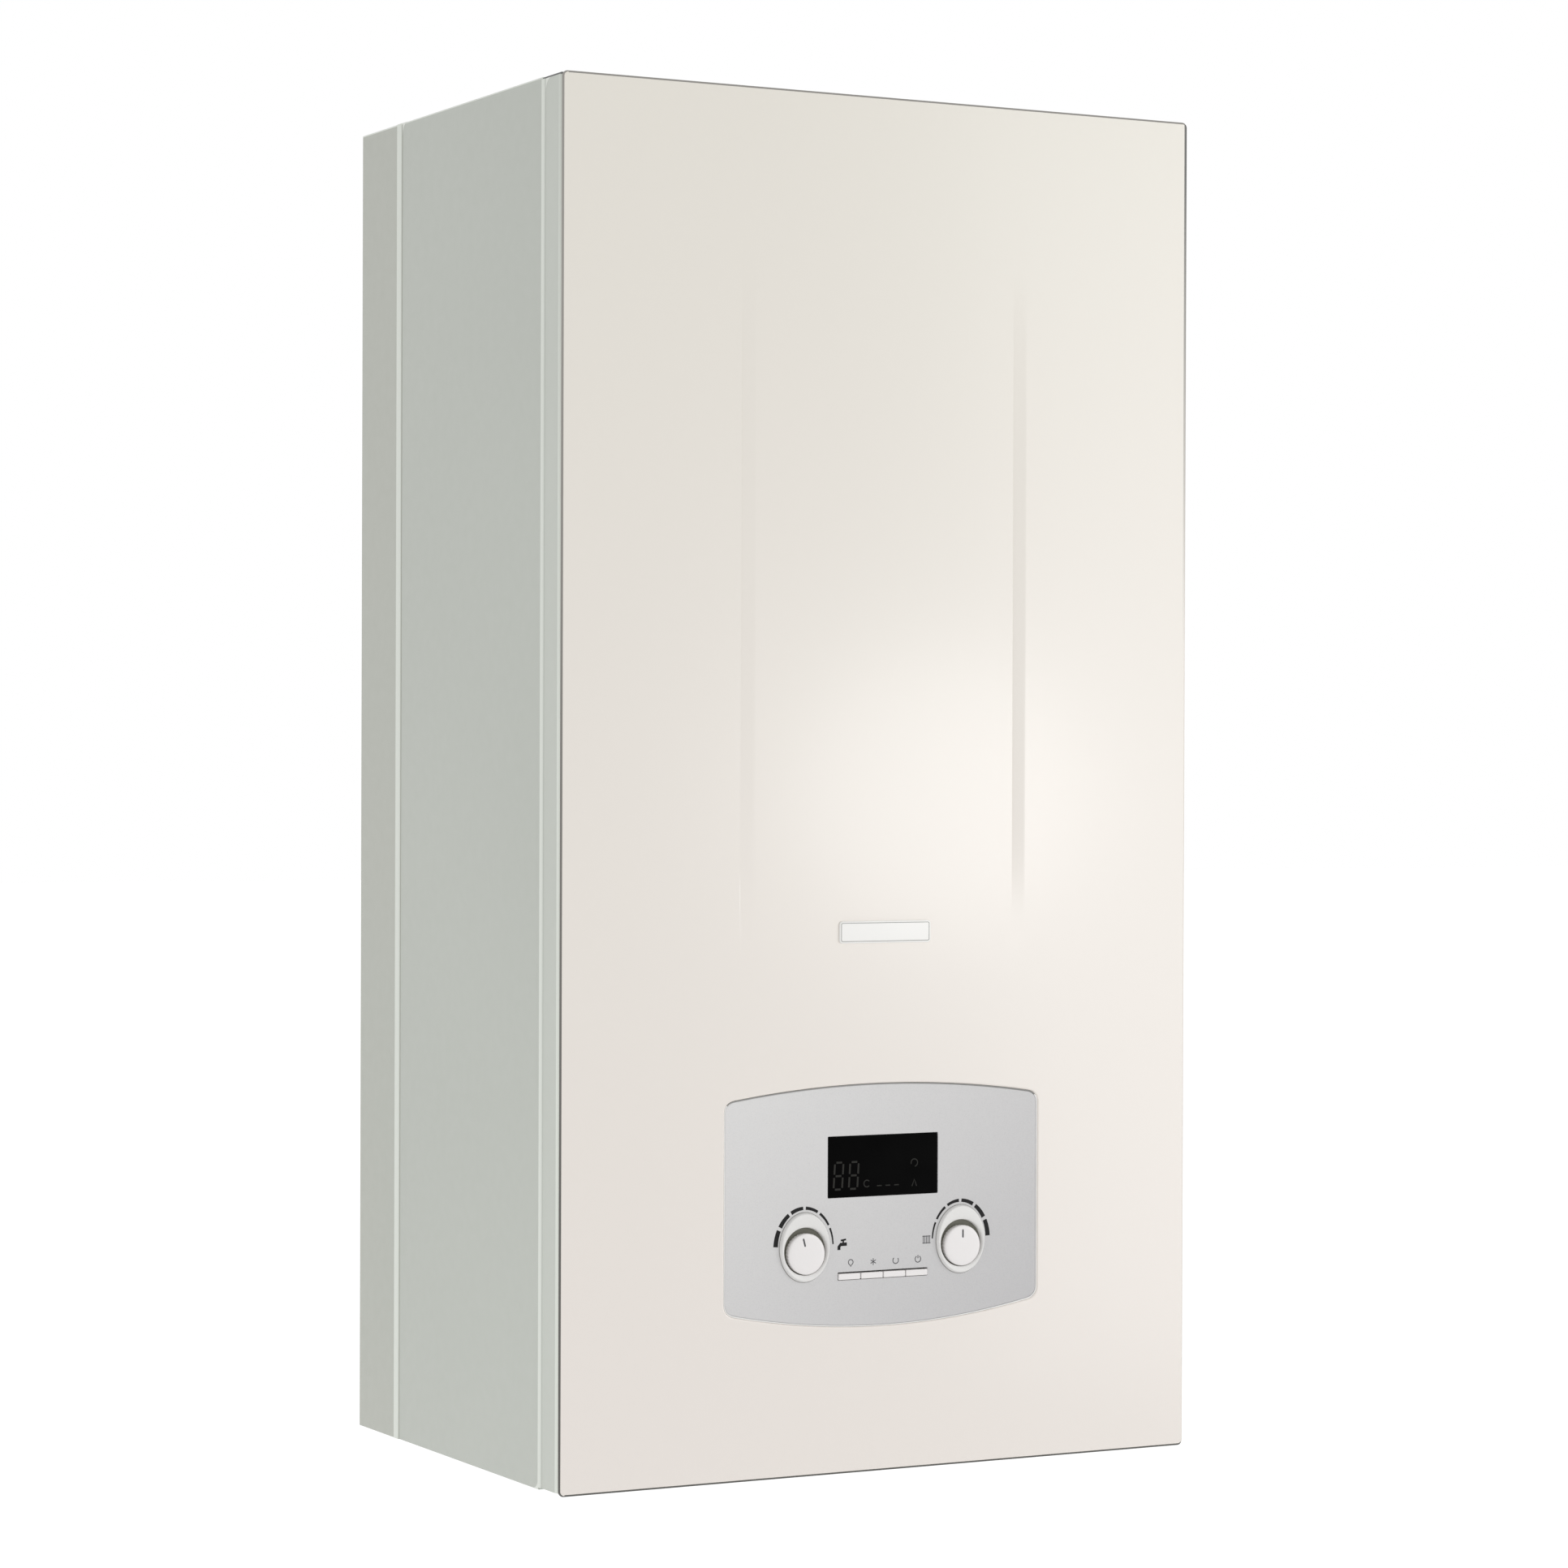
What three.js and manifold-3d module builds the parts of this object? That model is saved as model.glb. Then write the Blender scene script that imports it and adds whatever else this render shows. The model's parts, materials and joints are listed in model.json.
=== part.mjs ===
// Wall-hung combination boiler with a fan-assisted sealed chamber.
//
// Millimetres, +Z up. In the casing's own frame the wall is the plane y = 0, the front faces -Y, +X is to the
// right of someone who faces the boiler, and z is measured up from the casing's bottom edge. The finished
// group is lowered so that the origin is the middle of the wall bracket's back face.

import * as THREE from "three";
import { mergeVertices } from "three/addons/utils/BufferGeometryUtils.js";
import Module from "manifold-3d";

const wasm = await Module();
wasm.setup();

// ---------------------------------------------------------------- driving dimensions

const casingWidth = 400;
const casingHeight = 770;
const casingDepth = 285; // wall to the front panel's face
const sheet = 1.2; // steel sheet of the casing and the air box
const touch = 0.3; // gap between pieces that rest on or pass close to each other

// casing strips, measured back from the front face or forward from the wall
const panelStep = 0.6; // how far the front panel and the hems stand out past the side sheets
const frontPanelThickness = 1.6;
const gasketThickness = 1.4;
const gasketInset = 3.6;
const gasketBand = 12;
const coverReturn = 25; // depth of the front cover's side walls
const chassisDepth = 61;
const hemWidth = 4.3;
const chassisHemWidth = 7;
const lipWidth = 14;
const coverEdgeRise = 1.5; // the cover ends this far inside the front panel's top and bottom edges
const coverBend = 3; // outside bend radius of the cover's front edges
const frontCornerRadius = 4.5;

// pressed creases of the front panel
const creaseX = 87;
const creaseWidth = 8.4;
const creaseDepth = 0.5;
const creaseLow = 291;
const creaseTopDrop = 90; // creases' upper ends below the casing's top edge

// badge plaque
const badgeWidth = 58.4;
const badgeHeight = 12.4;
const badgeThickness = 1;
const badgeCorner = 2;
const badgeZ = 302.4;

// control fascia
const fasciaHalfWidth = 100;
const fasciaLow = 93;
const fasciaHigh = 209;
const fasciaLowSag = 11;
const fasciaHighSag = 8;
const fasciaCorner = 6;
const fasciaRecess = 0.8;
const fasciaGap = 0.6;
const windowWidth = 70;
const windowLow = 154.5;
const windowHigh = 188.3;
const windowThickness = 1.6;
const displayMargin = 4.5; // border of the window that hides the edge of the display
const knobX = 50;
const knobZ = 124.1;
const capRadius = 11.5;
const capFront = 4; // cap ahead of the fascia's face
const wellRadius = 13;
const wellRise = 0.9; // the well's centre above the knob's axis
const collarRadius = 17.5;
const collarRise = 3.5; // the collar ring's centre above the knob's axis
const collarFront = 2.2;
const collarWall = 1;
const knobShaftRadius = 3;
const hotWaterPointerTilt = THREE.MathUtils.degToRad(15);
const buttonWidth = 13.8;
const buttonHeight = 3.4;
const buttonPitch = 14.4;
const buttonZ = 110;
const buttonProud = 0.7;
const buttonTravel = 1;
const buttonTopGap = 0.8;

// control box and board
const boxHalfWidth = 150;
const boxLow = 72;
const boxHigh = 232;
const boxDepth = 55;
const boxWall = 2;
const boardHalfWidth = 90;
const boardLow = 84;
const boardHigh = 218;
const boardThickness = 1.6;
const boardSetback = 16.5; // board's front face behind the box's front wall
const switchHeight = 4.3;
const potentiometerSize = 14;
const potentiometerDepth = 6;

// bottom of the casing
const bottomPlateZ = 34;
const coverFloorZ = 4;
const screwX = 150;
const screwHeadRadius = 4.5;
const screwRadius = 2;
const screwInset = 9; // screw's axis ahead of the cover's rear edge

// hanging
const bracketHalfWidth = 150;
const bracketHeight = 60;
const bracketThickness = 2.5;
const bracketDrop = 110; // bracket's middle below the casing's top edge
const backPlateRecess = 8.8;
const hookX = 110;
const hookWidth = 40;
const hookRise = 12;
const bracketHoleRadius = 4;
const bracketHoleInset = 12;

// sealed chamber
const airBoxLow = 285;
const airBoxRear = 90;
const airBoxSetback = 35; // air box's front behind the front panel's face
const airBoxCoverRim = 10;
const sightGlassRadius = 8;
const flueY = -160;
const flueRadius = 27;
const flueWall = 1.5;
const airInletRadius = 45;
const flueFlangeRadius = 51.5;
const chamberHalfWidth = 140;
const chamberRear = -104;
const chamberSetback = 22; // chamber's front behind the air box's front
const insulation = 12;
const burnerHeight = 60;
const exchangerHeight = 55.3;
const exchangerPortDrop = 28; // water ports below the exchanger's top
const finCount = 17;
const finPitch = 15;
const finThickness = 3;
const hoodHeight = 65;
const hoodSheet = 1.5;
const hoodBrim = 10; // upright rim of the hood around the exchanger
const fanX = -31;
const fanDrop = 64; // fan's axis below the duct's top
const fanLift = 4; // fan housing above the hood
const fanRadius = 58;
const fanWall = 2;
const fanRear = -134.3;
const fanSetback = 42; // fan housing's front behind the chamber's front
const fanInletRadius = 28;
const wheelRadius = 48;
const fanBladeCount = 10;
const ductDrop = 44; // duct's top below the casing's top edge
const burnerBladeCount = 12;
const burnerBladePitch = 21;
const manifoldSetback = 10; // manifold's axis behind the air box's front
const manifoldRise = 33; // manifold's axis above the air box's floor
const manifoldRadius = 7;

// water and gas
const pipeRadius = 7;
const riserInset = 24; // riser's axis inside the casing's side
const riserY = -165;
const unionY = -120;
const unionPitch = 65;
const unionRadius = 8;
const unionEndZ = 2;
const blockInner = 110;
const blockOuter = 150;
const blockLow = 60;
const blockFront = -140;
const returnBlockTop = 95;
const flowBlockTop = 110;
const pumpZ = 150;
const pumpRadius = 48;
const pumpChamberRadius = 40;
const pumpMotorGap = 19.2; // pump motor behind the control box
const plateStackLow = 60;
const plateStackHigh = 130;
const plateCount = 9;
const tapX = 97;
const tapY = -150;
const reliefZ = 78;
const vesselRadius = 160;
const vesselDrop = 230; // vessel's middle below the casing's top edge
const vesselWall = 1.6;
const glandX = -97;
const glandY = -150;
const glandRadius = 8;
const gasValveLow = 90;
const gasValveHigh = 165;
const pressureSwitchRadius = 22;
const pressureSwitchDrop = 130; // switch's axis below the casing's top edge
const pressureSwitchSetback = 50; // switch's axis behind the air box's front

// ---------------------------------------------------------------- derived places

const halfWidth = casingWidth / 2;
const sideOuter = halfWidth - panelStep;
const sideInner = sideOuter - sheet;
const frontFace = -casingDepth;
const gasketFront = frontFace + frontPanelThickness;
const coverFront = gasketFront + gasketThickness;
const coverInner = coverFront + sheet;
const coverRear = coverFront + coverReturn;
const fasciaFace = frontFace + fasciaRecess;
const boxFront = coverInner + touch;
const boxInner = boxFront + boxWall;
const boardFront = boxFront + boardSetback + boxWall;
const boardBack = boardFront + boardThickness;
const knobPlaces = [-knobX, knobX];
const buttonPlaces = [-1.5, -0.5, 0.5, 1.5].map((step) => step * buttonPitch);
const buttonRowHalf = 1.5 * buttonPitch + buttonWidth / 2;
const displayHalfWidth = windowWidth / 2 - displayMargin;
const backPlateBack = -backPlateRecess;
const backPlateFront = backPlateBack - sheet;
const lipInner = sideOuter - lipWidth;
const bracketZ = casingHeight - bracketDrop;
const hookTop = bracketZ;
const creaseHigh = casingHeight - creaseTopDrop;
const airBoxTop = casingHeight - sheet - touch;
const airBoxHalfWidth = sideInner - 2 * touch;
const airBoxFront = casingDepth - airBoxSetback;
const chamberFront = chamberSetback - airBoxFront;
const burnerTop = airBoxLow + burnerHeight;
const manifoldY = manifoldSetback - airBoxFront;
const manifoldZ = airBoxLow + manifoldRise;
const ductTop = casingHeight - ductDrop;
const fanZ = ductTop - fanDrop;
const fanFront = chamberFront + fanSetback;
const fanShaftRadius = 4;
const hoodTop = fanZ - fanRadius - fanLift;
const exchangerTop = hoodTop - hoodHeight;
const exchangerPortZ = exchangerTop - exchangerPortDrop;
const chamberTop = exchangerTop - exchangerHeight;
const riserX = halfWidth - riserInset;
const blockCentre = (blockInner + blockOuter) / 2;
const vesselZ = casingHeight - vesselDrop;

// ---------------------------------------------------------------- materials

function finish(color, roughness, metalness) {
  return new THREE.MeshStandardMaterial({ color, roughness, metalness });
}

const glossWhite = finish(0xe9e5dc, 0.22, 0);
const casingPaint = finish(0xc8ccc2, 0.45, 0);
const darkRubber = finish(0x55565a, 0.8, 0);
const badgeWhite = finish(0xf4f3f0, 0.35, 0);
const silverPlastic = finish(0xcfcfd0, 0.4, 0.1);
const blackGlass = finish(0x0e0e10, 0.15, 0);
const whitePlastic = finish(0xf1eeee, 0.35, 0);
const greyPlastic = finish(0x3c3e41, 0.6, 0);
const boardGreen = finish(0x1f5a3a, 0.5, 0);
const zincSteel = finish(0xaeb2b5, 0.45, 0.8);
const copper = finish(0xb87349, 0.35, 0.9);
const brass = finish(0xc6a24e, 0.35, 0.9);
const castAluminium = finish(0xa3a6a8, 0.5, 0.8);
const ceramicFibre = finish(0xe6e1d6, 0.95, 0);
const vesselRed = finish(0xa32a22, 0.5, 0);
const blackPaint = finish(0x1d1e20, 0.5, 0);
const bluePlastic = finish(0x27539b, 0.45, 0);
const redPlastic = finish(0xb3261e, 0.45, 0);

// ---------------------------------------------------------------- shapes

function toSolid(geometry) {
  const bare = geometry.clone();
  bare.deleteAttribute("normal");
  bare.deleteAttribute("uv");
  const merged = mergeVertices(bare, 1e-4);
  const vertProperties = new Float32Array(merged.attributes.position.array);
  const triVerts = new Uint32Array(merged.index.array);
  return new wasm.Manifold(new wasm.Mesh({ numProp: 3, vertProperties, triVerts }));
}

function toGeometry(solid) {
  const mesh = solid.getMesh();
  const geometry = new THREE.BufferGeometry();
  geometry.setAttribute("position", new THREE.BufferAttribute(mesh.vertProperties, 3));
  geometry.setIndex(new THREE.BufferAttribute(mesh.triVerts, 1));
  return geometry;
}

function join(...solids) {
  return solids.reduce((whole, piece) => whole.add(piece));
}

function cut(solid, ...tools) {
  return tools.reduce((rest, tool) => rest.subtract(tool), solid);
}

// puts the two end planes of a straight form exactly at the given places along one axis (0 is x, 1 is y, 2 is
// z), so that pieces given the same number share one plane
function setEnds(geometry, axis, low, high) {
  const position = geometry.attributes.position;
  geometry.computeBoundingBox();
  const { min, max } = geometry.boundingBox;
  const middle = (min.getComponent(axis) + max.getComponent(axis)) / 2;
  for (let i = 0; i < position.count; i += 1) {
    position.setComponent(i, axis, position.getComponent(i, axis) < middle ? low : high);
  }
  return geometry;
}

// a box given by its lowest and highest x, y and z
function block(x0, x1, y0, y1, z0, z1) {
  const geometry = new THREE.BoxGeometry(1, 1, 1);
  setEnds(geometry, 0, x0, x1);
  setEnds(geometry, 1, y0, y1);
  return toSolid(setEnds(geometry, 2, z0, z1));
}

// the same box on the left and on the right
function blockPair(inner, outer, y0, y1, z0, z1) {
  return join(block(-outer, -inner, y0, y1, z0, z1), block(inner, outer, y0, y1, z0, z1));
}

// round bars and discs along each axis, given by their end planes and the centre of their section
function drumX(radius, x0, x1, y, z, sides = 20) {
  const geometry = new THREE.CylinderGeometry(radius, radius, x1 - x0, sides);
  geometry.rotateZ(Math.PI / 2);
  geometry.translate(0, y, z);
  return toSolid(setEnds(geometry, 0, x0, x1));
}

function drumY(radius, y0, y1, x, z, sides = 20) {
  const geometry = new THREE.CylinderGeometry(radius, radius, y1 - y0, sides);
  geometry.translate(x, 0, z);
  return toSolid(setEnds(geometry, 1, y0, y1));
}

function drumZ(radius, z0, z1, x, y, sides = 20) {
  const geometry = new THREE.CylinderGeometry(radius, radius, z1 - z0, sides);
  geometry.rotateX(Math.PI / 2);
  geometry.translate(x, y, 0);
  return toSolid(setEnds(geometry, 2, z0, z1));
}

// a round bar along Y whose front end is narrower than its back end
function taperY(frontRadius, backRadius, y0, y1, x, z, sides = 32) {
  const geometry = new THREE.CylinderGeometry(backRadius, frontRadius, y1 - y0, sides);
  geometry.translate(x, 0, z);
  return toSolid(setEnds(geometry, 1, y0, y1));
}

// an outline drawn in x and z, as a slab from y0 back to y1
function slab(outline, y0, y1, curveSegments = 8) {
  const geometry = new THREE.ExtrudeGeometry(outline, { depth: y1 - y0, bevelEnabled: false, curveSegments });
  geometry.rotateX(Math.PI / 2);
  return toSolid(setEnds(geometry, 1, y0, y1));
}

// an outline drawn in x and y, as a post from z0 up to z1
function post(outline, z0, z1, curveSegments = 4) {
  const geometry = new THREE.ExtrudeGeometry(outline, { depth: z1 - z0, bevelEnabled: false, curveSegments });
  return toSolid(setEnds(geometry, 2, z0, z1));
}

function polygon(points) {
  return new THREE.Shape(points.map(([x, y]) => new THREE.Vector2(x, y)));
}

function roundedRectangle(x0, x1, y0, y1, radius) {
  const shape = new THREE.Shape();
  shape.moveTo(x0 + radius, y0);
  shape.absarc(x1 - radius, y0 + radius, radius, -Math.PI / 2, 0);
  shape.absarc(x1 - radius, y1 - radius, radius, 0, Math.PI / 2);
  shape.absarc(x0 + radius, y1 - radius, radius, Math.PI / 2, Math.PI);
  shape.absarc(x0 + radius, y0 + radius, radius, Math.PI, 1.5 * Math.PI);
  return shape;
}

// the fascia's outline, grown by a margin: straight sides, bulged top and bottom, rounded corners
function fasciaOutline(margin) {
  const half = fasciaHalfWidth + margin;
  const low = fasciaLow - margin;
  const high = fasciaHigh + margin;
  const radius = fasciaCorner + margin;
  const edge = half - radius;
  const share = 1 - (edge / half) ** 2;
  const highEnd = high + fasciaHighSag * share;
  const lowEnd = low - fasciaLowSag * share;
  const shape = new THREE.Shape();
  shape.moveTo(-half, low + radius);
  shape.quadraticCurveTo(-half, low, -edge, lowEnd);
  shape.quadraticCurveTo(0, 2 * (low - fasciaLowSag) - lowEnd, edge, lowEnd);
  shape.quadraticCurveTo(half, low, half, low + radius);
  shape.lineTo(half, high - radius);
  shape.quadraticCurveTo(half, high, edge, highEnd);
  shape.quadraticCurveTo(0, 2 * (high + fasciaHighSag) - highEnd, -edge, highEnd);
  shape.quadraticCurveTo(-half, high, -half, high - radius);
  return shape;
}

// a pipe of one radius along straight runs joined by bends
function pipe(points, radius, bend, steps, sides = 8) {
  const corners = points.map(([x, y, z]) => new THREE.Vector3(x, y, z));
  const route = new THREE.CurvePath();
  let from = corners[0];
  for (let i = 1; i < corners.length - 1; i += 1) {
    const before = corners[i].clone().sub(corners[i - 1]);
    const after = corners[i + 1].clone().sub(corners[i]);
    const reach = Math.min(bend, before.length() / 2.1, after.length() / 2.1);
    const enter = corners[i].clone().addScaledVector(before.normalize(), -reach);
    const leave = corners[i].clone().addScaledVector(after.normalize(), reach);
    route.add(new THREE.LineCurve3(from, enter));
    route.add(new THREE.QuadraticBezierCurve3(enter, corners[i], leave));
    from = leave;
  }
  route.add(new THREE.LineCurve3(from, corners[corners.length - 1]));
  const section = new THREE.Shape();
  for (let i = 0; i < sides; i += 1) {
    const angle = (i * 2 * Math.PI) / sides;
    const x = radius * Math.cos(angle);
    const y = radius * Math.sin(angle);
    if (i === 0) section.moveTo(x, y);
    else section.lineTo(x, y);
  }
  section.closePath();
  return toSolid(new THREE.ExtrudeGeometry(section, { steps, extrudePath: route }));
}

const boiler = new THREE.Group();
boiler.position.set(0, 0, -bracketZ);

function addPart(name, solid, material, place = [0, 0, 0]) {
  const mesh = new THREE.Mesh(toGeometry(solid), material);
  mesh.name = name;
  mesh.position.set(...place);
  boiler.add(mesh);
  return mesh;
}

// ---------------------------------------------------------------- casing

// outline, seen from above, of a casing section from its front plane back to its rear plane: the sides lie
// at sideOuter, and a hem with a sloped front edge stands out past them between hemFront and hemRear
function sectionOutline(front, rear, bend, hemFront, hemRear) {
  const slope = panelStep * 1.5;
  const right = [
    [sideOuter, hemFront],
    [halfWidth, hemFront + slope],
    [halfWidth, hemRear],
    [sideOuter, hemRear],
    [sideOuter, rear],
  ];
  const rightSide = right.filter(([x, y], i) => i === 0 || x !== right[i - 1][0] || y !== right[i - 1][1]);
  const shape = new THREE.Shape();
  shape.moveTo(-sideOuter + bend, front);
  if (bend > 0) shape.absarc(sideOuter - bend, front + bend, bend, -Math.PI / 2, 0);
  for (const [x, y] of rightSide) shape.lineTo(x, y);
  for (const [x, y] of rightSide.toReversed()) shape.lineTo(-x, y);
  if (bend > 0) shape.absarc(-sideOuter + bend, front + bend, bend, Math.PI, 1.5 * Math.PI);
  return shape;
}

function addRearChassis() {
  const underTop = casingHeight - sheet;
  const front = -chassisDepth;
  const outline = sectionOutline(front, 0, 0, front, front + chassisHemWidth);
  const slotInner = hookX - hookWidth / 2 - 2;
  const slotOuter = hookX + hookWidth / 2 + 2;
  const chassis = cut(
    post(outline, 0, casingHeight),
    block(-sideInner, sideInner, backPlateBack, 5, -5, underTop),
    block(-sideInner, sideInner, front + sheet, backPlateFront, -5, underTop),
    block(-lipInner, lipInner, front - 5, front + 2 * sheet, -5, underTop),
    blockPair(slotInner, slotOuter, -20, 0, hookTop - 10, hookTop + 0.2 + touch),
  );
  addPart("rear_chassis", chassis, casingPaint);
}

function addWallBracket() {
  const low = bracketZ - bracketHeight / 2;
  const inner = hookX - hookWidth / 2;
  const outer = hookX + hookWidth / 2;
  const hookFront = backPlateFront - touch - bracketThickness;
  const hookLow = hookTop - bracketThickness;
  const holeX = bracketHalfWidth - bracketHoleInset;
  const holeRise = bracketHeight / 2 - bracketHoleInset;
  const shape = join(
    block(-bracketHalfWidth, bracketHalfWidth, -bracketThickness, 0, low, low + bracketHeight),
    blockPair(inner, outer, hookFront, -bracketThickness / 2, hookLow, hookTop),
    blockPair(inner, outer, hookFront, hookFront + bracketThickness, hookLow, hookTop + hookRise),
  );
  const holes = [-1, 1].flatMap((side) =>
    [-holeRise, holeRise].map((rise) => drumY(bracketHoleRadius, -10, 10, side * holeX, bracketZ + rise, 16)),
  );
  const levelHole = drumY(bracketHoleRadius, -10, 10, 0, bracketZ + holeRise, 16);
  addPart("wall_bracket", cut(shape, ...holes, levelHole), zincSteel);
}

function addSidePanels() {
  const front = coverRear + touch;
  const rear = -chassisDepth - touch;
  for (const [name, side] of [["side_panel_left", -1], ["side_panel_right", 1]]) {
    const channel = [
      [lipInner, front],
      [sideOuter, front],
      [sideOuter, rear],
      [lipInner, rear],
      [lipInner, rear - sheet],
      [sideInner, rear - sheet],
      [sideInner, front + sheet],
      [lipInner, front + sheet],
    ].map(([x, y]) => [side * x, y]);
    addPart(name, post(polygon(side > 0 ? channel : channel.reverse()), 0, casingHeight), casingPaint);
  }
}

function addTopPanel() {
  const rear = -chassisDepth - touch;
  const front = coverRear + touch;
  const top = casingHeight;
  const lipLow = casingHeight - sheet - 9;
  const lipHalf = lipInner - 2 * touch;
  const half = sideInner - touch;
  const notch = sheet + touch;
  const panel = cut(
    block(-half, half, front, rear, lipLow, top),
    block(-half - 5, half + 5, front + sheet, rear - sheet, lipLow - 5, top - sheet),
    blockPair(lipHalf, half + 5, front - 5, front + notch, lipLow - 5, top + 5),
    blockPair(lipHalf, half + 5, rear - notch, rear + 5, lipLow - 5, top + 5),
    drumZ(flueFlangeRadius + 0.5, top - 5, top + 5, 0, flueY, 32),
  );
  addPart("top_panel", panel, casingPaint);
}

function addBottomPlate() {
  const top = bottomPlateZ + sheet;
  const front = coverRear + 3;
  const tabLow = coverFloorZ + sheet + touch;
  const tabFront = coverInner + 5;
  const tabHalf = 170;
  const half = sideInner - touch;
  const lipLow = bottomPlateZ - 12;
  const plate = cut(
    block(-half, half, front, backPlateFront - touch, lipLow, top),
    block(-half + sheet, half - sheet, front - 5, 5, lipLow - 5, bottomPlateZ),
    blockPair(half - 2 * sheet, half + 5, front - 5, front + 5, lipLow - 5, bottomPlateZ),
    blockPair(half - 2 * sheet, half + 5, -chassisDepth - 5, 5, lipLow - 5, bottomPlateZ),
  );
  const apron = cut(
    block(-tabHalf, tabHalf, tabFront, front + sheet, tabLow, top - sheet / 2),
    block(-tabHalf - 5, tabHalf + 5, tabFront - 5, front, tabLow + sheet, top + 5),
  );
  const notchRear = -chassisDepth + sheet + 1;
  const notchFront = -chassisDepth - touch - sheet - 1;
  const notches = blockPair(lipInner - 2 * touch, halfWidth, notchFront, notchRear, lipLow - 5, top + 5);
  const holeLow = bottomPlateZ - 15;
  const holeHigh = bottomPlateZ + 15;
  const pipeHoles = [-2, -1, 0, 1, 2].map((place) =>
    drumZ(unionRadius + touch + 0.2, holeLow, holeHigh, place * unionPitch, unionY, 16),
  );
  const screwHoles = [-1, 1].map((side) =>
    drumZ(screwRadius + touch, 0, tabLow + 5, side * screwX, coverRear - screwInset, 12),
  );
  const tapHole = drumZ(knobShaftRadius + touch, holeLow, holeHigh, tapX, tapY, 12);
  const glandHole = drumZ(glandRadius + touch + 0.2, holeLow, holeHigh, glandX, glandY, 16);
  const holes = [...pipeHoles, ...screwHoles, tapHole, glandHole];
  addPart("bottom_plate", cut(join(plate, apron), notches, ...holes), casingPaint);
}

function addFrontCover() {
  const low = coverEdgeRise;
  const high = casingHeight - coverEdgeRise;
  const innerBend = coverBend - sheet;
  const hemFront = coverRear - hemWidth;
  const outer = post(sectionOutline(coverFront, coverRear, coverBend, hemFront, coverRear), low, high);
  const inner = roundedRectangle(-sideInner, sideInner, coverInner, 10, innerBend);
  const screwSlots = [-1, 1].map((side) => {
    const reach = screwRadius + touch;
    const x = side * screwX;
    return block(x - reach, x + reach, coverRear - screwInset - reach, coverRear + 5, low, coverFloorZ + 5);
  });
  const tray = cut(
    outer,
    post(inner, coverFloorZ + sheet, high - sheet),
    post(inner, low - 5, coverFloorZ),
    slab(fasciaOutline(fasciaGap), coverFront - 5, coverInner + 5, 8),
    ...screwSlots,
  );
  addPart("front_cover_tray", tray, casingPaint);
}

function addFrontGasket() {
  const inset = gasketInset;
  const band = inset + gasketBand;
  const ring = roundedRectangle(-halfWidth + inset, halfWidth - inset, inset, casingHeight - inset, 2);
  ring.holes.push(roundedRectangle(-halfWidth + band, halfWidth - band, band, casingHeight - band, 2));
  addPart("front_gasket", slab(ring, gasketFront, coverFront, 2), darkRubber);
}

function addFrontPanel() {
  const face = roundedRectangle(-halfWidth, halfWidth, 0, casingHeight, frontCornerRadius);
  face.holes.push(fasciaOutline(fasciaGap));
  const middle = (creaseLow + creaseHigh) / 2;
  const creases = [-1, 1].map((side) => {
    const geometry = new THREE.SphereGeometry(1, 8, 10);
    geometry.scale(creaseWidth / 2, creaseDepth, (creaseHigh - creaseLow) / 2);
    geometry.translate(side * creaseX, frontFace, middle);
    return toSolid(geometry);
  });
  addPart("front_panel", cut(slab(face, frontFace, gasketFront, 10), ...creases), glossWhite);
}

function addBadgePlaque() {
  const x = badgeWidth / 2;
  const z = badgeHeight / 2;
  const plaque = slab(roundedRectangle(-x, x, -z, z, badgeCorner), -badgeThickness, 0, 4);
  addPart("badge_plaque", plaque, badgeWhite, [0, frontFace, badgeZ]);
}

function addCoverScrews() {
  const headTop = coverFloorZ - touch;
  for (const [name, side] of [["cover_screw_left", -1], ["cover_screw_right", 1]]) {
    const head = drumZ(screwHeadRadius, coverEdgeRise, headTop, 0, 0, 16);
    const shank = drumZ(screwRadius, headTop - 1, 14, 0, 0, 12);
    const slot = block(-screwHeadRadius, screwHeadRadius, -0.5, 0.5, 0, coverEdgeRise + 1);
    const screw = cut(join(head, shank), slot);
    addPart(name, screw, zincSteel, [side * screwX, coverRear - screwInset, 0]);
  }
}

// ---------------------------------------------------------------- controls

function addFascia() {
  const wellHoles = knobPlaces.map((x) =>
    drumY(wellRadius + collarWall + touch, frontFace - 5, boxFront + 5, x, knobZ + wellRise, 32),
  );
  const half = windowWidth / 2 + touch;
  const windowBack = fasciaFace + windowThickness;
  const opening = displayHalfWidth + 1;
  const openingLow = windowLow + displayMargin - 1;
  const openingHigh = windowHigh - displayMargin + 1;
  const slotHalf = buttonRowHalf + touch;
  const slotLow = buttonZ - buttonHeight / 2 - touch;
  const slotHigh = buttonZ + buttonHeight / 2 + buttonTopGap;
  const plate = cut(
    slab(fasciaOutline(0), fasciaFace, boxFront, 10),
    block(-half, half, fasciaFace - 5, windowBack, windowLow - touch, windowHigh + touch),
    block(-opening, opening, fasciaFace, boxFront + 5, openingLow, openingHigh),
    block(-slotHalf, slotHalf, fasciaFace - 5, boxFront + 5, slotLow, slotHigh),
    ...wellHoles,
  );
  addPart("fascia", plate, silverPlastic);
}

function addDisplayWindow() {
  const pane = block(-windowWidth / 2, windowWidth / 2, 0, windowThickness - touch, windowLow, windowHigh);
  addPart("display_window", pane, blackGlass, [0, fasciaFace, 0]);
}

// collar ring around a knob; its own frame has the knob's axis as Y and the fascia's face as y = 0
function knobCollar() {
  const sleeveBack = boxFront - fasciaFace - touch;
  return cut(
    join(
      taperY(collarRadius - 0.9, collarRadius, -collarFront, 0, 0, collarRise, 40),
      drumY(wellRadius + collarWall, -1, sleeveBack, 0, wellRise, 32),
    ),
    drumY(wellRadius, -10, 20, 0, wellRise, 32),
  );
}

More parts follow.
